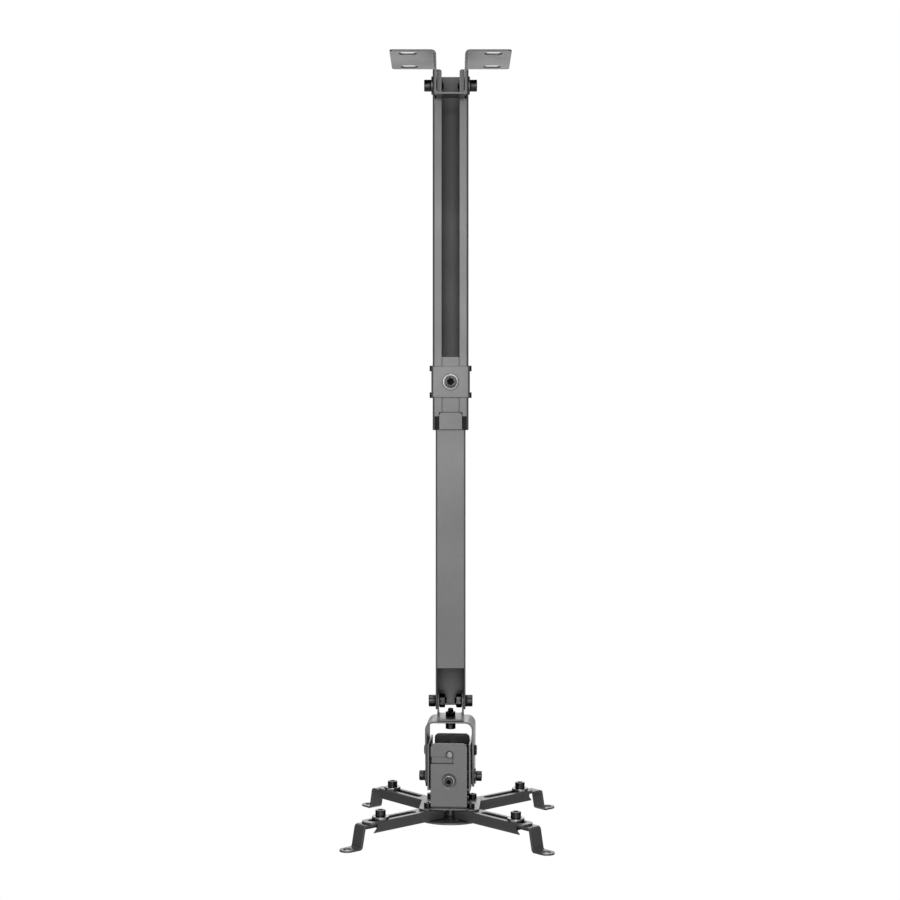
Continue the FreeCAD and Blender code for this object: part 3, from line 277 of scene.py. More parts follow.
@dataclass(frozen=True)
class BlackOxide:
    """Oiled black steel of the screws and nuts, more worn on the washers and the pin, with painted shade in
    its sockets and by other parts.
    """

    name: str = "black_oxide"
    dark: Colour = (0.018, 0.018, 0.019, 1.0)
    light: Colour = (0.05, 0.05, 0.052, 1.0)
    # the colour of the painted shade in sockets and by other parts
    painted_shade_colour: Colour = (0.002, 0.002, 0.002, 1.0)
    mottle_scale: float = 700.0
    mottle_span: tuple[float, float] = (0.35, 0.7)
    roughness: tuple[float, float] = (0.16, 0.3)
    # how far the painted shade reaches, and the share of open sky below which it is darkest
    painted_shade_reach: float = 5.0 * MM
    painted_shade_start: float = 0.5
    sheen: float = 0.5

    def material(self) -> bpy.types.Material:
        """Build the oxide skin.

        Returns:
            The finished material.
        """
        material, graph = new_material(self.name)
        place = graph.add("ShaderNodeTexCoord").outputs["Object"]
        mottle = graph.add("ShaderNodeTexNoise", {
            "Vector": place, "Scale": self.mottle_scale, "Detail": 5.0}).outputs[0]
        colour = graph.mix(graph.ranged(mottle, *self.mottle_span), self.dark, self.light)
        rough = graph.ranged(mottle, *NOISE_SPAN, *self.roughness)
        bump = graph.add("ShaderNodeBump", {
            "Strength": 0.12, "Distance": 0.03 * MM, "Height": mottle}).outputs[0]
        # Painted shade: in sockets and close to other parts the colour is mixed towards black and the sheen
        # is lowered by the same share.
        oxide_unshaded_share = openness(graph, self.painted_shade_reach, 0.0, False, self.painted_shade_start)
        surface = graph.add("ShaderNodeBsdfPrincipled", {
            "Base Color": graph.mix(oxide_unshaded_share, self.painted_shade_colour, colour), "Metallic": 1.0,
            "Roughness": rough, "Normal": bump,
            "Specular IOR Level": graph.math("MULTIPLY", oxide_unshaded_share, self.sheen)})
        graph.add("ShaderNodeOutputMaterial", {"Surface": surface.outputs[0]})
        return material


@dataclass(frozen=True)
class BlackNylon:
    """Moulded black nylon of the guide pads and the bush, with a spark-eroded grain."""

    name: str = "black_nylon"
    dark: Colour = (0.006, 0.006, 0.007, 1.0)
    light: Colour = (0.014, 0.014, 0.015, 1.0)
    grain_scale: float = 1800.0
    roughness: tuple[float, float] = (0.5, 0.62)
    sheen: float = 0.12

    def material(self) -> bpy.types.Material:
        """Build the plastic.

        Returns:
            The finished material.
        """
        material, graph = new_material(self.name)
        place = graph.add("ShaderNodeTexCoord").outputs["Object"]
        grain = graph.add("ShaderNodeTexVoronoi", {"Vector": place, "Scale": self.grain_scale}).outputs[0]
        cloud = graph.add("ShaderNodeTexNoise", {"Vector": place, "Scale": 90.0, "Detail": 3.0}).outputs[0]
        rough = graph.ranged(cloud, *NOISE_SPAN, *self.roughness)
        bump = graph.add("ShaderNodeBump", {
            "Strength": 0.3, "Distance": 0.03 * MM, "Height": grain}).outputs[0]
        surface = graph.add("ShaderNodeBsdfPrincipled", {
            "Base Color": graph.mix(cloud, self.dark, self.light), "Roughness": rough, "Normal": bump,
            "Specular IOR Level": self.sheen})
        graph.add("ShaderNodeOutputMaterial", {"Surface": surface.outputs[0]})
        return material


@dataclass
class Palette:
    """The finishes of the mount, each built once."""

    coat: bpy.types.Material = field(default_factory=lambda: PowderCoat().material())
    oxide: bpy.types.Material = field(default_factory=lambda: BlackOxide().material())
    wear_and_edge_highlight: bpy.types.Material = field(default_factory=lambda: BlackOxide(
        "rubbed_oxide", (0.08, 0.08, 0.082, 1.0), (0.15, 0.15, 0.153, 1.0)).material())
    worn: bpy.types.Material = field(default_factory=lambda: BlackOxide(
        "worn_oxide", (0.14, 0.14, 0.142, 1.0), (0.28, 0.28, 0.285, 1.0)).material())
    nylon: bpy.types.Material = field(default_factory=lambda: BlackNylon().material())


def body_of(node: str) -> str:
    """Give the name of the body that a CAD node belongs to."""
    return next(body for body, nodes in frame["record"]["behaviour"]["bodies"].items() if node in nodes)


def new_object(name: str, data: bpy.types.ID) -> bpy.types.Object:
    """Make an object and link it to the scene."""
    thing = bpy.data.objects.new(name, data)
    bpy.context.scene.collection.objects.link(thing)
    return thing


def plain_mesh(holder: bpy.types.Object, name: str) -> bpy.types.Object:
    """Turn an object with live modifiers into one with a plain mesh, and drop the first.

    Args:
        holder: The object to evaluate.
        name: What the new object is called.

    Returns:
        The new object, linked to the scene.
    """
    graph = bpy.context.evaluated_depsgraph_get()
    mesh = bpy.data.meshes.new_from_object(holder.evaluated_get(graph), depsgraph=graph)
    mesh.name = name
    bpy.data.objects.remove(holder)
    return new_object(name, mesh)


def stand_for(piece: bpy.types.Object, node: str) -> None:
    """Let a piece take the place of a CAD node on the same body.

    Args:
        piece: The finished piece.
        node: The CAD node that it stands for.
    """
    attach(piece, body_of(node))
    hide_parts(node)
    log.info("%s: %d faces on %s", piece.name, len(piece.data.polygons), body_of(node))


@dataclass
class SheetPart:
    """A folded sheet part: the CAD form with clean faces, its edges broken as a deburred edge is."""

    node: str
    finish: bpy.types.Material
    slot: str = "powder_coat"
    edge: float = 0.22 * MM
    welded: bool = False
    hard_angle: float = math.radians(38)
    flat_angle: float = math.radians(0.5)

    def shaped(self, work: bmesh.types.BMesh) -> None:
        """Change the merged form, where a part needs it. A plain sheet stays as it is."""

    def cleaned(self) -> bpy.types.Mesh:
        """Merge the CAD mesh and join its flat triangles.

        Returns:
            A new mesh.
        """
        mesh = frame["nodes"][self.node].data.copy()
        mesh.materials.clear()
        work = bmesh.new()
        work.from_mesh(mesh)
        bmesh.ops.remove_doubles(work, verts=work.verts, dist=CLOSE)
        bmesh.ops.dissolve_limit(
            work, angle_limit=self.flat_angle, verts=work.verts, edges=work.edges,
            use_dissolve_boundaries=False)
        self.shaped(work)
        work.to_mesh(mesh)
        work.free()
        return mesh

    def build(self) -> bpy.types.Object:
        """Build the part and put it in the CAD node's place.

        Returns:
            The finished piece.
        """
        holder = new_object(self.node + "_raw", self.cleaned())
        rounding = holder.modifiers.new("broken_edge", "BEVEL")
        rounding.width = self.edge
        rounding.segments = 2
        rounding.limit_method = "ANGLE"
        rounding.angle_limit = self.hard_angle
        rounding.use_clamp_overlap = True
        rounding.miter_outer = "MITER_ARC"
        if self.welded:
            holder.modifiers.new("one_skin", "WELD").merge_threshold = SAME
        smoothing = holder.modifiers.new("even_shade", "WEIGHTED_NORMAL")
        smoothing.keep_sharp = True
        for polygon in holder.data.polygons:
            polygon.use_smooth = True
        piece = plain_mesh(holder, self.node + "_sheet")
        piece.data.materials.append(self.finish)
        stand_for(piece, self.node)
        return piece


@dataclass
class ArmSheet(SheetPart):
    """An arm, the outsides of its flanges rolled in a little towards their lower edges."""

    edge: float = 0.25 * MM
    roll: float = 0.7 * MM
    bend: float = 1.8 * MM
    skin: float = 0.01 * MM
    bands: int = 6

    def shaped(self, work: bmesh.types.BMesh) -> None:
        """Draw the outer skins of both flanges in, more the lower they lie.

        Args:
            work: The merged form.
        """
        joints = {joint["name"]: joint for joint in frame["record"]["behaviour"]["joints"]}
        corner = self.node.removeprefix("arm_")
        pivot = Vector(joints["arm_swing_" + corner]["pos_m"])
        along = Vector(joints["leg_slide_" + corner]["axis"])
        across = Vector((-along.y, along.x, 0))
        low = min(vertex.co.z for vertex in work.verts)
        top = max(vertex.co.z for vertex in work.verts) - self.bend
        for band in range(1, self.bands):
            cut = Vector((0, 0, low + (top - low) * band / self.bands))
            bmesh.ops.bisect_plane(work, geom=work.verts[:] + work.edges[:] + work.faces[:],
                                   plane_co=cut, plane_no=(0, 0, 1))
        outside = max((vertex.co - pivot).dot(across) for vertex in work.verts) - self.skin
        for vertex in work.verts:
            reach = (vertex.co - pivot).dot(across)
            if abs(reach) > outside and vertex.co.z < top:
                share = (top - vertex.co.z) / (top - low)
                vertex.co -= across * math.copysign(self.roll * share * share, reach)


@dataclass
class HookSheet(SheetPart):
    """The hook bracket, the recess of its lock screw pressed to a shallow cone."""

    rim: float = 7.0 * MM
    seat: float = 5.2 * MM
    floor_depth: tuple[float, float] = (0.3 * MM, 1.0 * MM)

    def shaped(self, work: bmesh.types.BMesh) -> None:
        """Draw the floor's edge in round the washer's seat, so that the wall becomes a cone.

        Args:
            work: The merged form.
        """
        screw = places_of("release_screw", Aim.FRONT, HEAD_YAW)[0]
        front = max((vertex.co - screw.origin).dot(screw.axis) for vertex in work.verts)
        least, most = self.floor_depth
        for vertex in work.verts:
            off = vertex.co - screw.origin
            along = off.dot(screw.axis)
            out = off - screw.axis * along
            if abs(out.length - self.rim) < 0.05 * MM and least < front - along < most:
                vertex.co = screw.origin + screw.axis * along + out * (self.seat / out.length)
                for edge in vertex.link_edges:
                    edge.smooth = False


@dataclass(frozen=True)
class Place:
    """Where a turned part's origin lies, the way its axis points, and how far it reaches along that."""

    origin: Vector
    axis: Vector
    low: float
    high: float
    radius: float


def solids(node: str) -> list[list[Vector]]:
    """Split a CAD node's mesh into its separate solids.

    Args:
        node: The CAD node.

    Returns:
        The vertices of each solid, in the mesh's own order, the same in every run.
    """
    work = bmesh.new()
    work.from_mesh(frame["nodes"][node].data)
    bmesh.ops.remove_doubles(work, verts=work.verts, dist=CLOSE)
    left = set(work.verts)
    found = []
    for start in work.verts:
        if start not in left:
            continue
        left.remove(start)
        edge = [start]
        members = []
        while edge:
            vertex = edge.pop()
            members.append(vertex.co.copy())
            for link in vertex.link_edges:
                other = link.other_vert(vertex)
                if other in left:
                    left.remove(other)
                    edge.append(other)
        found.append(members)
    work.free()
    return found


def axis_at(aim: Aim, centre: Vector, yaw: float) -> Vector:
    """Give the direction a fastener points in.

    Args:
        aim: The way it faces.
        centre: Its middle, which tells left from right.
        yaw: How far the pieces that it joins are turned about the pole.

    Returns:
        A unit vector.
    """
    side = 1.0 if centre.x > 0 else -1.0
    plain = {
        Aim.UP: Vector((0, 0, 1)),
        Aim.DOWN: Vector((0, 0, -1)),
        Aim.FRONT: Vector((0, -1, 0)),
        Aim.OUTWARD: Vector((side, 0, 0)),
        Aim.INWARD: Vector((-side, 0, 0)),
    }[aim]
    return Matrix.Rotation(yaw, 3, "Z") @ plain


def places_of(node: str, aim: Aim, yaw: float) -> list[Place]:
    """Measure where each solid of a fastener node lies.

    Args:
        node: The CAD node.
        aim: The way its solids face.
        yaw: The turn of the pieces that they join.

    Returns:
        One place for each solid, its origin on the axis at the solid's middle.
    """
    turn = Matrix.Rotation(yaw, 3, "Z")
    found = []
    for points in solids(node):
        square = [turn.transposed() @ p for p in points]
        low = Vector(min(p[k] for p in square) for k in range(3))
        high = Vector(max(p[k] for p in square) for k in range(3))
        centre = turn @ ((low + high) / 2)
        axis = axis_at(aim, centre, yaw)
        along = [(p - centre).dot(axis) for p in points]
        radius = max(((p - centre) - axis * (p - centre).dot(axis)).length for p in points)
        found.append(Place(centre, axis, min(along), max(along), radius))
    return found


@dataclass
class Section:
    """The half section of a turned part: radius, height and form, point by point."""

    points: list[tuple[float, float, Form]] = field(default_factory=list)

    def add(self, radius: float, height: float, form: Form = Form.ROUND) -> "Section":
        """Add one point and give the section back."""
        self.points.append((radius, height, form))
        return self

    def add_rim(self, radius: float, height: float, soft: float) -> "Section":
        """Add a rounded upper rim, from the outside in, and give the section back."""
        for turn in range(4):
            angle = math.radians(30 * turn)
            self.add(radius - soft * (1 - math.cos(angle)), height - soft * (1 - math.sin(angle)))
        return self

    def holder(self) -> bpy.types.Object:
        """Write the section as the vertices of an object that the tree can read.

        Returns:
            An object that isn't in the scene.
        """
        mesh = bpy.data.meshes.new("section")
        mesh.from_pydata([(radius, 0.0, height) for radius, height, _ in self.points], [], [])
        form = mesh.attributes.new("form", "FLOAT", "POINT")
        form.data.foreach_set("value", [float(item.value) for _, _, item in self.points])
        return bpy.data.objects.new("section", mesh)


class TurnedRow:
    """A geometry tree that turns a section and sets a copy at each point of the mesh it is on."""

    INPUTS = {
        "Section": "NodeSocketObject",
        "Points": "NodeSocketInt",
        "Steps": "NodeSocketInt",
        "Sweep": "NodeSocketFloat",
        "Across flats": "NodeSocketFloat",
        "Knurl depth": "NodeSocketFloat",
        "Thread pitch": "NodeSocketFloat",
        "Thread depth": "NodeSocketFloat",
        "Seed": "NodeSocketInt",
        "Finish": "NodeSocketMaterial",
    }

    def __init__(self) -> None:
        """Build the tree once."""
        self.tree = bpy.data.node_groups.new("turned_row", "GeometryNodeTree")
        self.tree.interface.new_socket("Geometry", in_out="INPUT", socket_type="NodeSocketGeometry")
        self.sockets = {
            name: self.tree.interface.new_socket(name, in_out="INPUT", socket_type=kind).identifier
            for name, kind in self.INPUTS.items()}
        self.tree.interface.new_socket("Geometry", in_out="OUTPUT", socket_type="NodeSocketGeometry")
        graph = Graph(self.tree)
        given = graph.add("NodeGroupInput").outputs
        turned = self.turned(graph, given)
        self.placed(graph, given, turned)

    def radius(self, graph: Graph, given: Any, level: Any, form: Any, step: Any, angle: Any,
               height: Any) -> bpy.types.NodeSocket:
        """Work out the radius at one vertex, flat, fluted or threaded as its form says.

        Args:
            graph: The tree.
            given: The tree's inputs.
            level: The section's own radius there.
            form: The section's form there.
            step: How many steps round the axis the vertex lies.
            angle: The vertex's angle.
            height: The vertex's height.

        Returns:
            The radius.
        """
        sixth = math.pi / 3
        within = graph.math("SUBTRACT", graph.math("FLOORED_MODULO", angle, sixth), sixth / 2)
        flat = graph.math("DIVIDE", graph.math("MULTIPLY", given["Across flats"], 0.5),
                          graph.math("COSINE", within))
        hexagonal = graph.math("MINIMUM", level, flat)
        odd = graph.math("FLOORED_MODULO", step, 2.0)
        knurled = graph.math("SUBTRACT", level, graph.math("MULTIPLY", odd, given["Knurl depth"]))
        turns = graph.math("SUBTRACT", graph.math("DIVIDE", height, given["Thread pitch"]),
                           graph.math("DIVIDE", angle, math.tau))
        wave = graph.math("PINGPONG", turns, 0.5)
        threaded = graph.math("SUBTRACT", level, graph.math(
            "MULTIPLY", graph.math("MULTIPLY", wave, 2.0), given["Thread depth"]))
        radius = level
        options = {Form.KNURLED: knurled, Form.HEXAGONAL: hexagonal, Form.THREADED: threaded}
        for option, result in options.items():
            chosen = graph.math("COMPARE", form, float(option.value), 0.25)
            radius = graph.add("GeometryNodeSwitch", {0: chosen, 1: radius, 2: result},
                               input_type="FLOAT").outputs[0]
        return radius

    def turned(self, graph: Graph, given: Any) -> bpy.types.NodeSocket:
        """Turn the section into a closed mesh round Z.

        Args:
            graph: The tree.
            given: The tree's inputs.

        Returns:
            The mesh.
        """
        around = graph.math("ADD", given["Steps"], 1.0)
        grid = graph.add("GeometryNodeMeshGrid", {2: around, 3: given["Points"]}).outputs[0]
        index = graph.add("GeometryNodeInputIndex").outputs[0]
        step = graph.math("FLOOR", graph.math("DIVIDE", index, given["Points"]))
        along = graph.math("FLOORED_MODULO", index, given["Points"])
        angle = graph.math("DIVIDE", graph.math("MULTIPLY", step, given["Sweep"]), given["Steps"])
        section = graph.add("GeometryNodeObjectInfo", {"Object": given["Section"]}).outputs["Geometry"]
        spot = graph.add("GeometryNodeSampleIndex", {
            0: section, 1: graph.add("GeometryNodeInputPosition").outputs[0], 2: along},
            data_type="FLOAT_VECTOR").outputs[0]
        named = graph.add("GeometryNodeInputNamedAttribute", {"Name": "form"}, data_type="FLOAT").outputs[0]
        form = graph.add("GeometryNodeSampleIndex", {0: section, 1: named, 2: along},
                         data_type="FLOAT").outputs[0]
        parts = graph.add("ShaderNodeSeparateXYZ", {0: spot}).outputs
        radius = self.radius(graph, given, parts[0], form, step, angle, parts[2])
        spot = graph.add("ShaderNodeCombineXYZ", {
            0: graph.math("MULTIPLY", radius, graph.math("COSINE", angle)),
            1: graph.math("MULTIPLY", radius, graph.math("SINE", angle)),
            2: parts[2]}).outputs[0]
        moved = graph.add("GeometryNodeSetPosition", {"Geometry": grid, "Position": spot}).outputs[0]
        return graph.add("GeometryNodeMergeByDistance", {"Geometry": moved, "Distance": SAME}).outputs[0]

    def placed(self, graph: Graph, given: Any, turned: Any) -> None:
        """Set the turned mesh at each point, each copy at its own turn about its axis.

        Args:
            graph: The tree.
            given: The tree's inputs.
            turned: The mesh to repeat.
        """
        aim = graph.add("GeometryNodeInputNamedAttribute", {"Name": "aim"},
                        data_type="FLOAT_VECTOR").outputs[0]
        copies = graph.add("GeometryNodeInstanceOnPoints", {
            "Points": given["Geometry"], "Instance": turned, "Rotation": aim}).outputs[0]
        spin = graph.add("FunctionNodeRandomValue", {2: 0.0, 3: math.tau, "Seed": given["Seed"]},
                         data_type="FLOAT").outputs[1]
        about = graph.add("ShaderNodeCombineXYZ", {2: spin}).outputs[0]
        spun = graph.add("GeometryNodeRotateInstances", {"Instances": copies, "Rotation": about}).outputs[0]
        real = graph.add("GeometryNodeRealizeInstances", {"Geometry": spun}).outputs[0]
        dressed = graph.add("GeometryNodeSetMaterial", {
            "Geometry": real, "Material": given["Finish"]}).outputs[0]
        graph.add("NodeGroupOutput", {0: dressed})

    def make(self, name: str, places: Sequence[Place], section: Section,
             values: dict[str, Any]) -> bpy.types.Object:
        """Run the tree on a set of places.

        Args:
            name: What the result is called.
            places: Where the copies go, their origin and axis.
            section: The half section to turn.
            values: The tree's other inputs, by name.

        Returns:
            An object with a plain mesh.
        """
        mesh = bpy.data.meshes.new(name)
        mesh.from_pydata([place.origin for place in places], [], [])
        aim = mesh.attributes.new("aim", "FLOAT_VECTOR", "POINT")
        for item, place in zip(aim.data, places):
            item.vector = place.axis.to_track_quat("Z", "Y").to_euler()
        holder = new_object(name + "_raw", mesh)
        profile = section.holder()
        modifier = holder.modifiers.new("turned_row", "NODES")
        modifier.node_group = self.tree
        inputs = {"Section": profile, "Points": len(section.points), **values}
        for key, value in inputs.items():
            modifier[self.sockets[key]] = value
        piece = plain_mesh(holder, name)
        bpy.data.objects.remove(profile)
        return piece


@dataclass
class FastenerRow:
    """One CAD node of fasteners, remade with thread, knurl, chamfers and socket."""

    node: str
    kind: Kind
    grade: Grade
    aim: Aim
    yaw: float = 0.0
    steps: int = 48
    knurl: float = 0.08 * MM
    chamfer: float = 0.5 * MM
    skim: float = 0.02 * MM
    rivet_head: float = 2.0 * MM
    spring_sweep: float = math.radians(346)
    crease: float = math.radians(32)
    seed: int = 7

    def screw(self, place: Place) -> Section:
        """Draw a socket cap screw, its origin under the head.

        Args:
            place: The solid that it stands for.

        Returns:
            The half section, from the thread's end round to the socket's floor.
        """
        thread = self.grade.value
        shank = place.high - place.low - thread.head_height
        outer = thread.diameter / 2
        core = outer - thread.depth
        head = thread.head / 2
        section = Section().add(0, -shank).add(core * 0.9, -shank)
        runout = shank - thread.pitch
        rows = max(4, round(runout / thread.pitch * 4))
        for row in range(rows + 1):
            section.add(outer, -shank + thread.depth + runout * 0.98 * row / rows, Form.THREADED)
        section.add(outer, 0.0)
        section.add(head - 0.3 * MM, 0.0).add(head, 0.3 * MM)
        section.add(head, 0.4 * MM, Form.KNURLED)
        section.add(head, thread.head_height - 1.1 * MM, Form.KNURLED)
        section.add(head - 0.02 * MM, thread.head_height - 0.9 * MM)
        section.add_rim(head, thread.head_height, self.chamfer)
        corner = thread.socket / math.sqrt(3) + 0.1 * MM
        section.add(corner + 0.15 * MM, thread.head_height)
        section.add(corner, thread.head_height - 0.15 * MM, Form.HEXAGONAL)
        section.add(corner, thread.head_height * 0.45, Form.HEXAGONAL)
        section.add(0, thread.head_height * 0.38)
        return section

    def nut(self, place: Place) -> Section:
        """Draw a hexagon nut with both faces chamfered, its origin at its lower face."""
        thread = self.grade.value
        height = place.high - place.low
        flat = thread.nut / 2
        corner = thread.nut / math.sqrt(3)
        dip = min((corner - flat) * math.tan(math.radians(30)), height * 0.25)
        bore = thread.diameter / 2 + 0.05 * MM
        section = Section().add(bore, dip * 0.6).add(bore + 0.35 * MM, 0).add(flat * 0.96, 0)
        section.add(corner, dip, Form.HEXAGONAL).add(corner, height - dip, Form.HEXAGONAL)
        section.add(flat * 0.96, height).add(bore + 0.35 * MM, height)
        section.add(bore, height - dip * 0.6).add(bore, dip * 0.6)
        return section

    def washer(self, place: Place) -> Section:
        """Draw a stamped washer, its upper rim rolled by the punch, its origin at its lower face."""
        bore = self.grade.value.diameter / 2 + 0.2 * MM
        height = place.high - place.low - self.skim
        rim = place.radius
        soft = min(0.45 * MM, height * 0.4)
        section = Section().add(bore, self.skim).add(rim - soft * 0.3, self.skim).add(rim, soft * 0.3)
        section.add_rim(rim, height, soft)
        return section.add(bore + 0.1 * MM, height).add(bore, height - 0.1 * MM).add(bore, self.skim)

    def spring(self, place: Place) -> Section:
        """Draw the square wire of a split spring washer, its origin at its lower face."""
        bore = self.grade.value.diameter / 2 + 0.2 * MM
        height = place.high - place.low - self.skim
        rim = place.radius
        soft = 0.2 * MM
        section = Section().add(bore, soft).add(bore + soft, self.skim)
        section.add(rim - soft, self.skim).add(rim, soft)
        section.add(rim, height - soft).add(rim - soft, height)
        return section.add(bore + soft, height).add(bore, height - soft).add(bore, soft)

    def is_spring(self, place: Place) -> bool:
        """Tell a split spring washer from a flat one by its narrow rim."""
        return self.kind is Kind.WASHER and place.radius < self.grade.value.diameter

    def rivet(self, place: Place) -> Section:
        """Draw a rivet with a low domed head and a formed tail, its origin under the head."""
        head = place.radius
        height = self.rivet_head
        length = place.high - place.low - height
        tail = 1.2 * MM
        section = Section().add(0, -length).add(head - 1.2 * MM, -length)
        section.add(head - 0.5 * MM, -length + 0.45 * MM).add(head - 0.5 * MM, -length + tail)
        section.add(2.5 * MM, -length + tail).add(2.5 * MM, 0).add(head - 0.1 * MM, 0).add(head, 0.15 * MM)
        section.add(head, height * 0.45)
        for turn in range(1, 7):
            angle = math.radians(15 * turn)
            section.add(head - 1.6 * MM * (1 - math.cos(angle)), height * (0.45 + 0.55 * math.sin(angle)))
        return section.add(0, height)

    def bar(self, place: Place) -> Section:
        """Draw a plain pin with rounded ends, its origin at its middle."""
        radius = place.radius
        half = (place.high - place.low) / 2
        soft = 0.6 * MM
        upper = Section().add_rim(radius, half, soft).add(0, half).points
        lower = [(out, -height, form) for out, height, form in reversed(upper)]
        return Section(lower + upper)

    def drawn(self, place: Place) -> tuple[Section, float]:
        """Choose the section for one solid.

        Args:
            place: The solid.

        Returns:
            The section, and where its origin lies along the axis from the solid's middle.
        """
        if self.kind is Kind.CAP_SCREW:
            return self.screw(place), place.high - self.grade.value.head_height
        if self.kind is Kind.RIVET:
            return self.rivet(place), place.high - self.rivet_head
        if self.kind is Kind.PIN:
            return self.bar(place), 0.0
        if self.is_spring(place):
            return self.spring(place), place.low
        return (self.nut if self.kind is Kind.NUT else self.washer)(place), place.low

    def flats(self) -> float:
        """Give the width across the flats of this row's hexagon."""
        thread = self.grade.value
        return thread.socket if self.kind is Kind.CAP_SCREW else thread.nut

    def build(self, tree: TurnedRow, finish: bpy.types.Material) -> bpy.types.Object:
        """Build the row and put it in the CAD node's place.

        Args:
            tree: The tree that turns and places.
            finish: The material.

        Returns:
            The finished piece.
        """
        groups: dict[tuple[float, float], list[Place]] = {}
        for place in places_of(self.node, self.aim, self.yaw):
            groups.setdefault((round(place.radius, 5), round(place.high - place.low, 5)), []).append(place)
        parts = []
        for number, group in enumerate(groups.values()):
            section, shift = self.drawn(group[0])
            sweep = self.spring_sweep if self.is_spring(group[0]) else math.tau
            seats = [Place(p.origin + p.axis * shift, p.axis, p.low, p.high, p.radius) for p in group]
            parts.append(tree.make(f"{self.node}_part{number}", seats, section, {
                "Steps": self.steps, "Sweep": sweep, "Across flats": self.flats(),
                "Knurl depth": self.knurl, "Thread pitch": self.grade.value.pitch,
                "Thread depth": self.grade.value.depth, "Seed": self.seed + number, "Finish": finish}))
        piece = joined(parts, self.node + "_turned", finish)
        piece.data.set_sharp_from_angle(angle=self.crease)
        stand_for(piece, self.node)
        return piece


def joined(parts: list[bpy.types.Object], name: str, finish: bpy.types.Material) -> bpy.types.Object:
    """Join objects that all lie at the origin into one, their open ends closed.

    Args:
        parts: The objects, which are dropped.
        name: What the result is called.
        finish: The material of the result.

    Returns:
        The joined object.
    """
    work = bmesh.new()
    for part in parts:
        work.from_mesh(part.data)
    bmesh.ops.holes_fill(work, edges=[edge for edge in work.edges if edge.is_boundary])
    bmesh.ops.recalc_face_normals(work, faces=work.faces)
    mesh = bpy.data.meshes.new(name)
    work.to_mesh(mesh)
    work.free()
    mesh.materials.append(finish)
    for polygon in mesh.polygons:
        polygon.use_smooth = True
        polygon.material_index = 0
    for part in parts:
        bpy.data.objects.remove(part)
    return new_object(name, mesh)


@dataclass
class SubAssembly:
    """A group of pieces that are dressed together."""

    palette: Palette
    tree: TurnedRow
    sheets: tuple[str, ...] = ()
    mouldings: tuple[str, ...] = ()

    def rows(self) -> Iterable[FastenerRow]:
        """Give the fasteners that hold the group together."""
        return ()

    def build(self) -> None:
        """Build every sheet, moulding and fastener of the group."""
        for node in self.sheets:
            SheetPart(node, self.palette.coat).build()
        for node in self.mouldings:
            SheetPart(node, self.palette.nylon, "black_nylon", 0.1 * MM, welded=True).build()
        for row in self.rows():
            finishes = {Kind.WASHER: self.palette.worn, Kind.PIN: self.palette.wear_and_edge_highlight}
            row.build(self.tree, finishes.get(row.kind, self.palette.oxide))


@dataclass
class CeilingBracket(SubAssembly):
    """The slotted hat that is screwed to the ceiling, and its two bolts."""

    sheets: tuple[str, ...] = ("ceiling_bracket",)

    def rows(self) -> Iterable[FastenerRow]:
        """Give the bolts that hold the tube's sides to the bracket."""
        return (
            FastenerRow("bracket_bolts", Kind.CAP_SCREW, Grade.LARGE, Aim.OUTWARD, seed=3),
            FastenerRow("bracket_washers", Kind.WASHER, Grade.LARGE, Aim.OUTWARD),
            FastenerRow("bracket_nuts", Kind.NUT, Grade.LARGE, Aim.INWARD, seed=5),
        )


@dataclass
class OuterTube(SubAssembly):
    """The channel with returned lips, its guide pads and the bush in its mouth."""

    sheets: tuple[str, ...] = ("outer_tube", "mouth_plate")
    mouldings: tuple[str, ...] = ("guide_pad_left", "guide_pad_right", "mouth_bush")


@dataclass
class ClampCollar(SubAssembly):
    """The thin sleeve round the tube, and the screw that fixes the height."""

    sheets: tuple[str, ...] = ("clamp_sleeve",)

    def rows(self) -> Iterable[FastenerRow]:
        """Give the clamp screw, its washer and its nut."""
        return (
            FastenerRow("clamp_screw", Kind.CAP_SCREW, Grade.LARGE, Aim.FRONT, seed=11),
            FastenerRow("clamp_washer", Kind.WASHER, Grade.LARGE, Aim.FRONT),
            FastenerRow("clamp_nut", Kind.NUT, Grade.LARGE, Aim.FRONT),
        )


@dataclass
class InnerTube(SubAssembly):
    """The tube that slides, and the bolts that the fork tilts on."""

    sheets: tuple[str, ...] = ("inner_tube",)

    def rows(self) -> Iterable[FastenerRow]:
        """Give the fork's bolts and nuts."""
        return (
            FastenerRow("fork_bolts", Kind.CAP_SCREW, Grade.LARGE, Aim.OUTWARD, seed=13),
            FastenerRow("fork_nuts", Kind.NUT, Grade.LARGE, Aim.INWARD),
        )


@dataclass
class Fork(SubAssembly):
    """The small fork and the swivel bolt that hangs the yoke from it."""

    sheets: tuple[str, ...] = ("fork",)

    def rows(self) -> Iterable[FastenerRow]:
        """Give the swivel's bolt, washers and nut."""
        return (
            FastenerRow("swivel_bolt", Kind.CAP_SCREW, Grade.MEDIUM, Aim.DOWN, seed=17),
            FastenerRow("swivel_washers", Kind.WASHER, Grade.MEDIUM, Aim.DOWN),
            FastenerRow("swivel_nut", Kind.NUT, Grade.MEDIUM, Aim.UP),
        )


@dataclass
class Yoke(SubAssembly):
    """The wide yoke and the rivets that the head tilts on."""

    sheets: tuple[str, ...] = ("yoke",)

    def rows(self) -> Iterable[FastenerRow]:
        """Give the pivot rivets."""
        return (FastenerRow("pivot_rivets", Kind.RIVET, Grade.MEDIUM, Aim.OUTWARD, HEAD_YAW),)


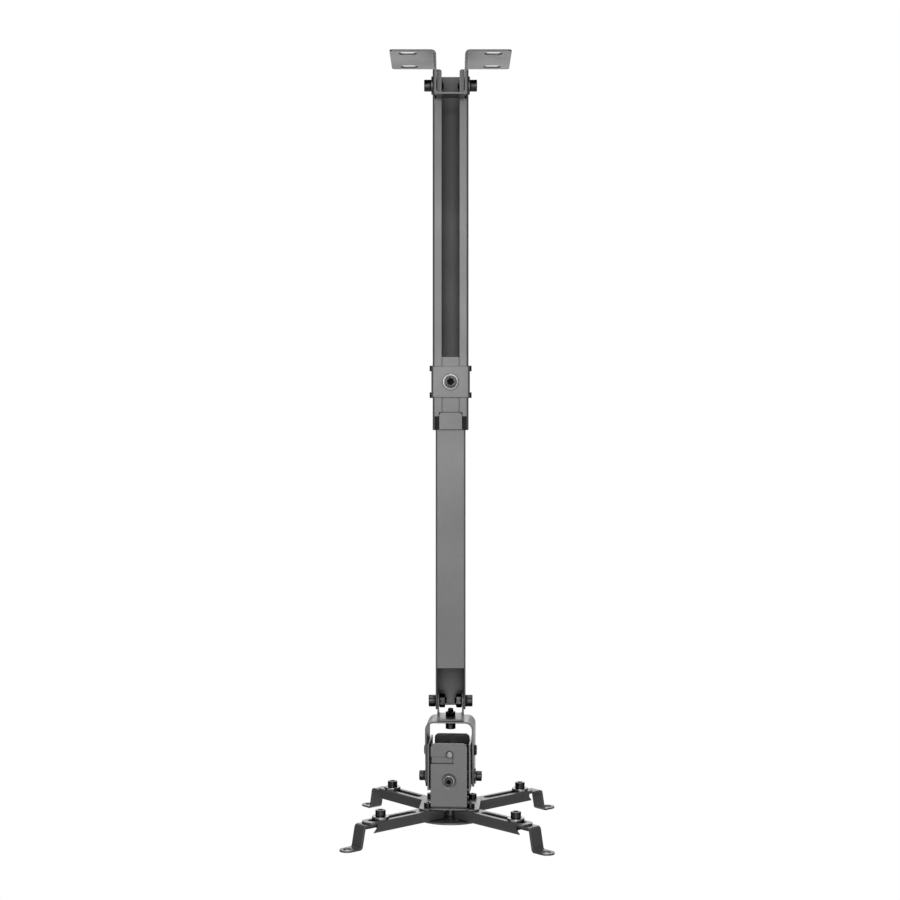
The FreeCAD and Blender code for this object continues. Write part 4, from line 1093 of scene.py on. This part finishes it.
@dataclass
class Head(SubAssembly):
    """The box that tilts, and the bracket that hooks on its pin."""

    sheets: tuple[str, ...] = ("head_box",)

    def build(self) -> None:
        """Build the hook bracket with its pressed recess, then the rest."""
        HookSheet("hook_bracket", self.palette.coat).build()
        super().build()

    def rows(self) -> Iterable[FastenerRow]:
        """Give the pin, the tilt bolts and the lock screw."""
        return (
            FastenerRow("hook_pin", Kind.PIN, Grade.LARGE, Aim.FRONT, HEAD_YAW),
            FastenerRow("tilt_bolts", Kind.CAP_SCREW, Grade.MEDIUM, Aim.OUTWARD, HEAD_YAW, seed=19),
            FastenerRow("tilt_washers", Kind.WASHER, Grade.MEDIUM, Aim.OUTWARD, HEAD_YAW),
            FastenerRow("tilt_nuts", Kind.NUT, Grade.MEDIUM, Aim.INWARD, HEAD_YAW),
            FastenerRow("release_screw", Kind.CAP_SCREW, Grade.SMALL, Aim.FRONT, HEAD_YAW, seed=23),
            FastenerRow("release_washer", Kind.WASHER, Grade.SMALL, Aim.FRONT, HEAD_YAW),
            FastenerRow("release_nut", Kind.NUT, Grade.SMALL, Aim.FRONT, HEAD_YAW),
        )


@dataclass
class Hub(SubAssembly):
    """The square plate above the arms, the round one below them, and their bolts."""

    sheets: tuple[str, ...] = ("base_plate", "hub_plate", "hub_spacer")

    def rows(self) -> Iterable[FastenerRow]:
        """Give the hub's bolt and the arms' pivots."""
        return (
            FastenerRow("hub_bolt", Kind.CAP_SCREW, Grade.MEDIUM, Aim.DOWN, seed=29),
            FastenerRow("hub_nut", Kind.NUT, Grade.MEDIUM, Aim.UP),
            FastenerRow("arm_pivot_bolts", Kind.CAP_SCREW, Grade.SMALL, Aim.UP, seed=31),
            FastenerRow("arm_pivot_nuts", Kind.NUT, Grade.SMALL, Aim.UP, seed=37),
        )


@dataclass
class ArmAndLeg(SubAssembly):
    """One slotted arm, the leg that slides along it, and the bolt between them."""

    corner: Corner = Corner.FRONT_LEFT

    def __post_init__(self) -> None:
        """Name the plain sheet of this corner."""
        self.sheets = (f"leg_{self.corner.value}",)

    def build(self) -> None:
        """Build the rolled arm, then the leg and its fasteners."""
        ArmSheet(f"arm_{self.corner.value}", self.palette.coat).build()
        super().build()

    def rows(self) -> Iterable[FastenerRow]:
        """Give the leg's bolt, washers and nut."""
        seed = 41 + list(Corner).index(self.corner)
        return (
            FastenerRow(f"leg_bolt_{self.corner.value}", Kind.CAP_SCREW, Grade.MEDIUM, Aim.UP, seed=seed),
            FastenerRow(f"leg_washers_{self.corner.value}", Kind.WASHER, Grade.MEDIUM, Aim.UP),
            FastenerRow(f"leg_nut_{self.corner.value}", Kind.NUT, Grade.MEDIUM, Aim.UP, seed=seed),
        )


@dataclass
class Studio:
    """The camera of the photograph, a plain pale floor and soft lamps."""

    lens: float = 61.6
    camera_place: tuple[float, float, float] = (-0.5 * MM, -1.3, -0.3304)
    floor_level: float = -1.6
    floor_radius: float = 1.4
    fade_start: float = 0.35
    least_glow: float = 0.55
    screen_aside: tuple[float, float] = (0.25, 0.5)
    screen_behind: tuple[float, float] = (-0.5, -0.1)
    dim: float = 0.18

    def camera(self) -> None:
        """Set the camera level with the middle of the pole, looking straight at it."""
        data = bpy.data.cameras.new("view")
        data.lens = self.lens
        data.sensor_width = 36.0
        camera = new_object("view", data)
        camera.location = self.camera_place
        camera.rotation_euler = (math.radians(90), 0, 0)
        bpy.context.scene.camera = camera

    def lamp(self, name: str, place: Sequence[float], target: Sequence[float], size: tuple[float, float],
             power: float) -> None:
        """Hang one soft lamp.

        Args:
            name: What it is called.
            place: Where it hangs.
            target: Where it points.
            size: Its width and height.
            power: Its power in watts.
        """
        data = bpy.data.lights.new(name, "AREA")
        data.shape = "RECTANGLE"
        data.size, data.size_y = size
        data.energy = power
        lamp = new_object(name, data)
        lamp.visible_camera = False
        lamp.location = place
        lamp.rotation_euler = (Vector(target) - Vector(place)).to_track_quat("-Z", "Y").to_euler()

    def lamps(self) -> None:
        """Hang the key lamp, the fill, the top lamp and the one behind that shines along the upper faces."""
        middle = (0, 0, -0.33)
        self.lamp("key", (-0.08, -1.5, -0.08), middle, (0.9, 0.75), 9.8)
        self.lamp("fill", (0.0, -1.5, -0.85), middle, (0.9, 0.6), 3.7)
        self.lamp("top", (0.0, -0.1, 1.1), middle, (0.6, 1.0), 10.0)
        self.lamp("back", (0.0, 1.4, 0.1), (0, 0, -0.63), (0.5, 0.9), 2.0)

    def world(self) -> None:
        """Make the surroundings white to the camera, and in reflections dark behind on either side."""
        world = bpy.data.worlds.new("studio")
        world.use_nodes = True
        graph = Graph(world.node_tree)
        rays = graph.add("ShaderNodeLightPath").outputs
        way = graph.add("ShaderNodeTexCoord").outputs["Generated"]
        parts = graph.add("ShaderNodeSeparateXYZ", {0: way}).outputs
        aside = graph.ranged(graph.math("ABSOLUTE", parts[0]), *self.screen_aside)
        behind = graph.ranged(parts[1], *self.screen_behind)
        clear = graph.math("SUBTRACT", 1.0, graph.math("MULTIPLY", aside, behind))
        shine = graph.math("MULTIPLY", rays["Is Glossy Ray"], clear)
        seen = graph.math("MAXIMUM", graph.math("MAXIMUM", rays["Is Camera Ray"], shine),
                          rays["Is Transmission Ray"])
        dim = graph.add("ShaderNodeBackground", {"Color": WHITE, "Strength": self.dim}).outputs[0]
        white = graph.add("ShaderNodeBackground", {"Color": WHITE, "Strength": 1.0}).outputs[0]
        both = graph.add("ShaderNodeMixShader", {0: seen, 1: dim, 2: white}).outputs[0]
        graph.add("ShaderNodeOutputWorld", {"Surface": both})
        bpy.context.scene.world = world

    def floor(self) -> None:
        """Lay a round pale floor that fades to the white surroundings."""
        mesh = bpy.data.meshes.new("floor")
        work = bmesh.new()
        bmesh.ops.create_circle(work, cap_ends=True, radius=self.floor_radius, segments=96,
                                matrix=Matrix.Translation((0, 0, self.floor_level)))
        work.to_mesh(mesh)
        work.free()
        material, graph = new_material("pale_floor")
        rays = graph.add("ShaderNodeLightPath").outputs
        place = graph.add("ShaderNodeTexCoord").outputs["Object"]
        flat = graph.add("ShaderNodeVectorMath", {0: place, 1: (1, 1, 0)}, operation="MULTIPLY").outputs[0]
        reach = graph.add("ShaderNodeVectorMath", {0: flat}, operation="LENGTH").outputs[1]
        fade = graph.ranged(reach, self.floor_radius * self.fade_start, self.floor_radius, self.least_glow)
        seen = graph.math("MAXIMUM", rays["Is Camera Ray"], rays["Is Glossy Ray"])
        share = graph.math("MULTIPLY", seen, fade)
        grain = graph.add("ShaderNodeTexNoise", {"Vector": place, "Scale": 40.0}).outputs[0]
        tone = graph.mix(grain, (0.86, 0.86, 0.86, 1.0), (0.9, 0.9, 0.9, 1.0))
        matt = graph.add("ShaderNodeBsdfDiffuse", {"Color": tone}).outputs[0]
        glow = graph.add("ShaderNodeEmission", {"Color": WHITE, "Strength": 1.0}).outputs[0]
        both = graph.add("ShaderNodeMixShader", {0: share, 1: matt, 2: glow}).outputs[0]
        graph.add("ShaderNodeOutputMaterial", {"Surface": both})
        mesh.materials.append(material)
        floor = new_object("floor", mesh)

    def build(self) -> None:
        """Set up the whole studio."""
        bpy.context.scene.view_settings.view_transform = "Standard"
        self.camera()
        self.lamps()
        self.world()
        self.floor()


def main() -> None:
    """Build the mount's looks and the studio."""
    logging.basicConfig(level=logging.INFO, format="%(name)s: %(message)s")
    palette = Palette()
    tree = TurnedRow()
    kinds = (CeilingBracket, OuterTube, ClampCollar, InnerTube, Fork, Yoke, Head, Hub)
    assemblies: list[SubAssembly] = [kind(palette, tree) for kind in kinds]
    assemblies += [ArmAndLeg(palette, tree, corner=corner) for corner in Corner]
    for assembly in assemblies:
        assembly.build()
    Studio().build()


if __name__ == "__main__":
    main()
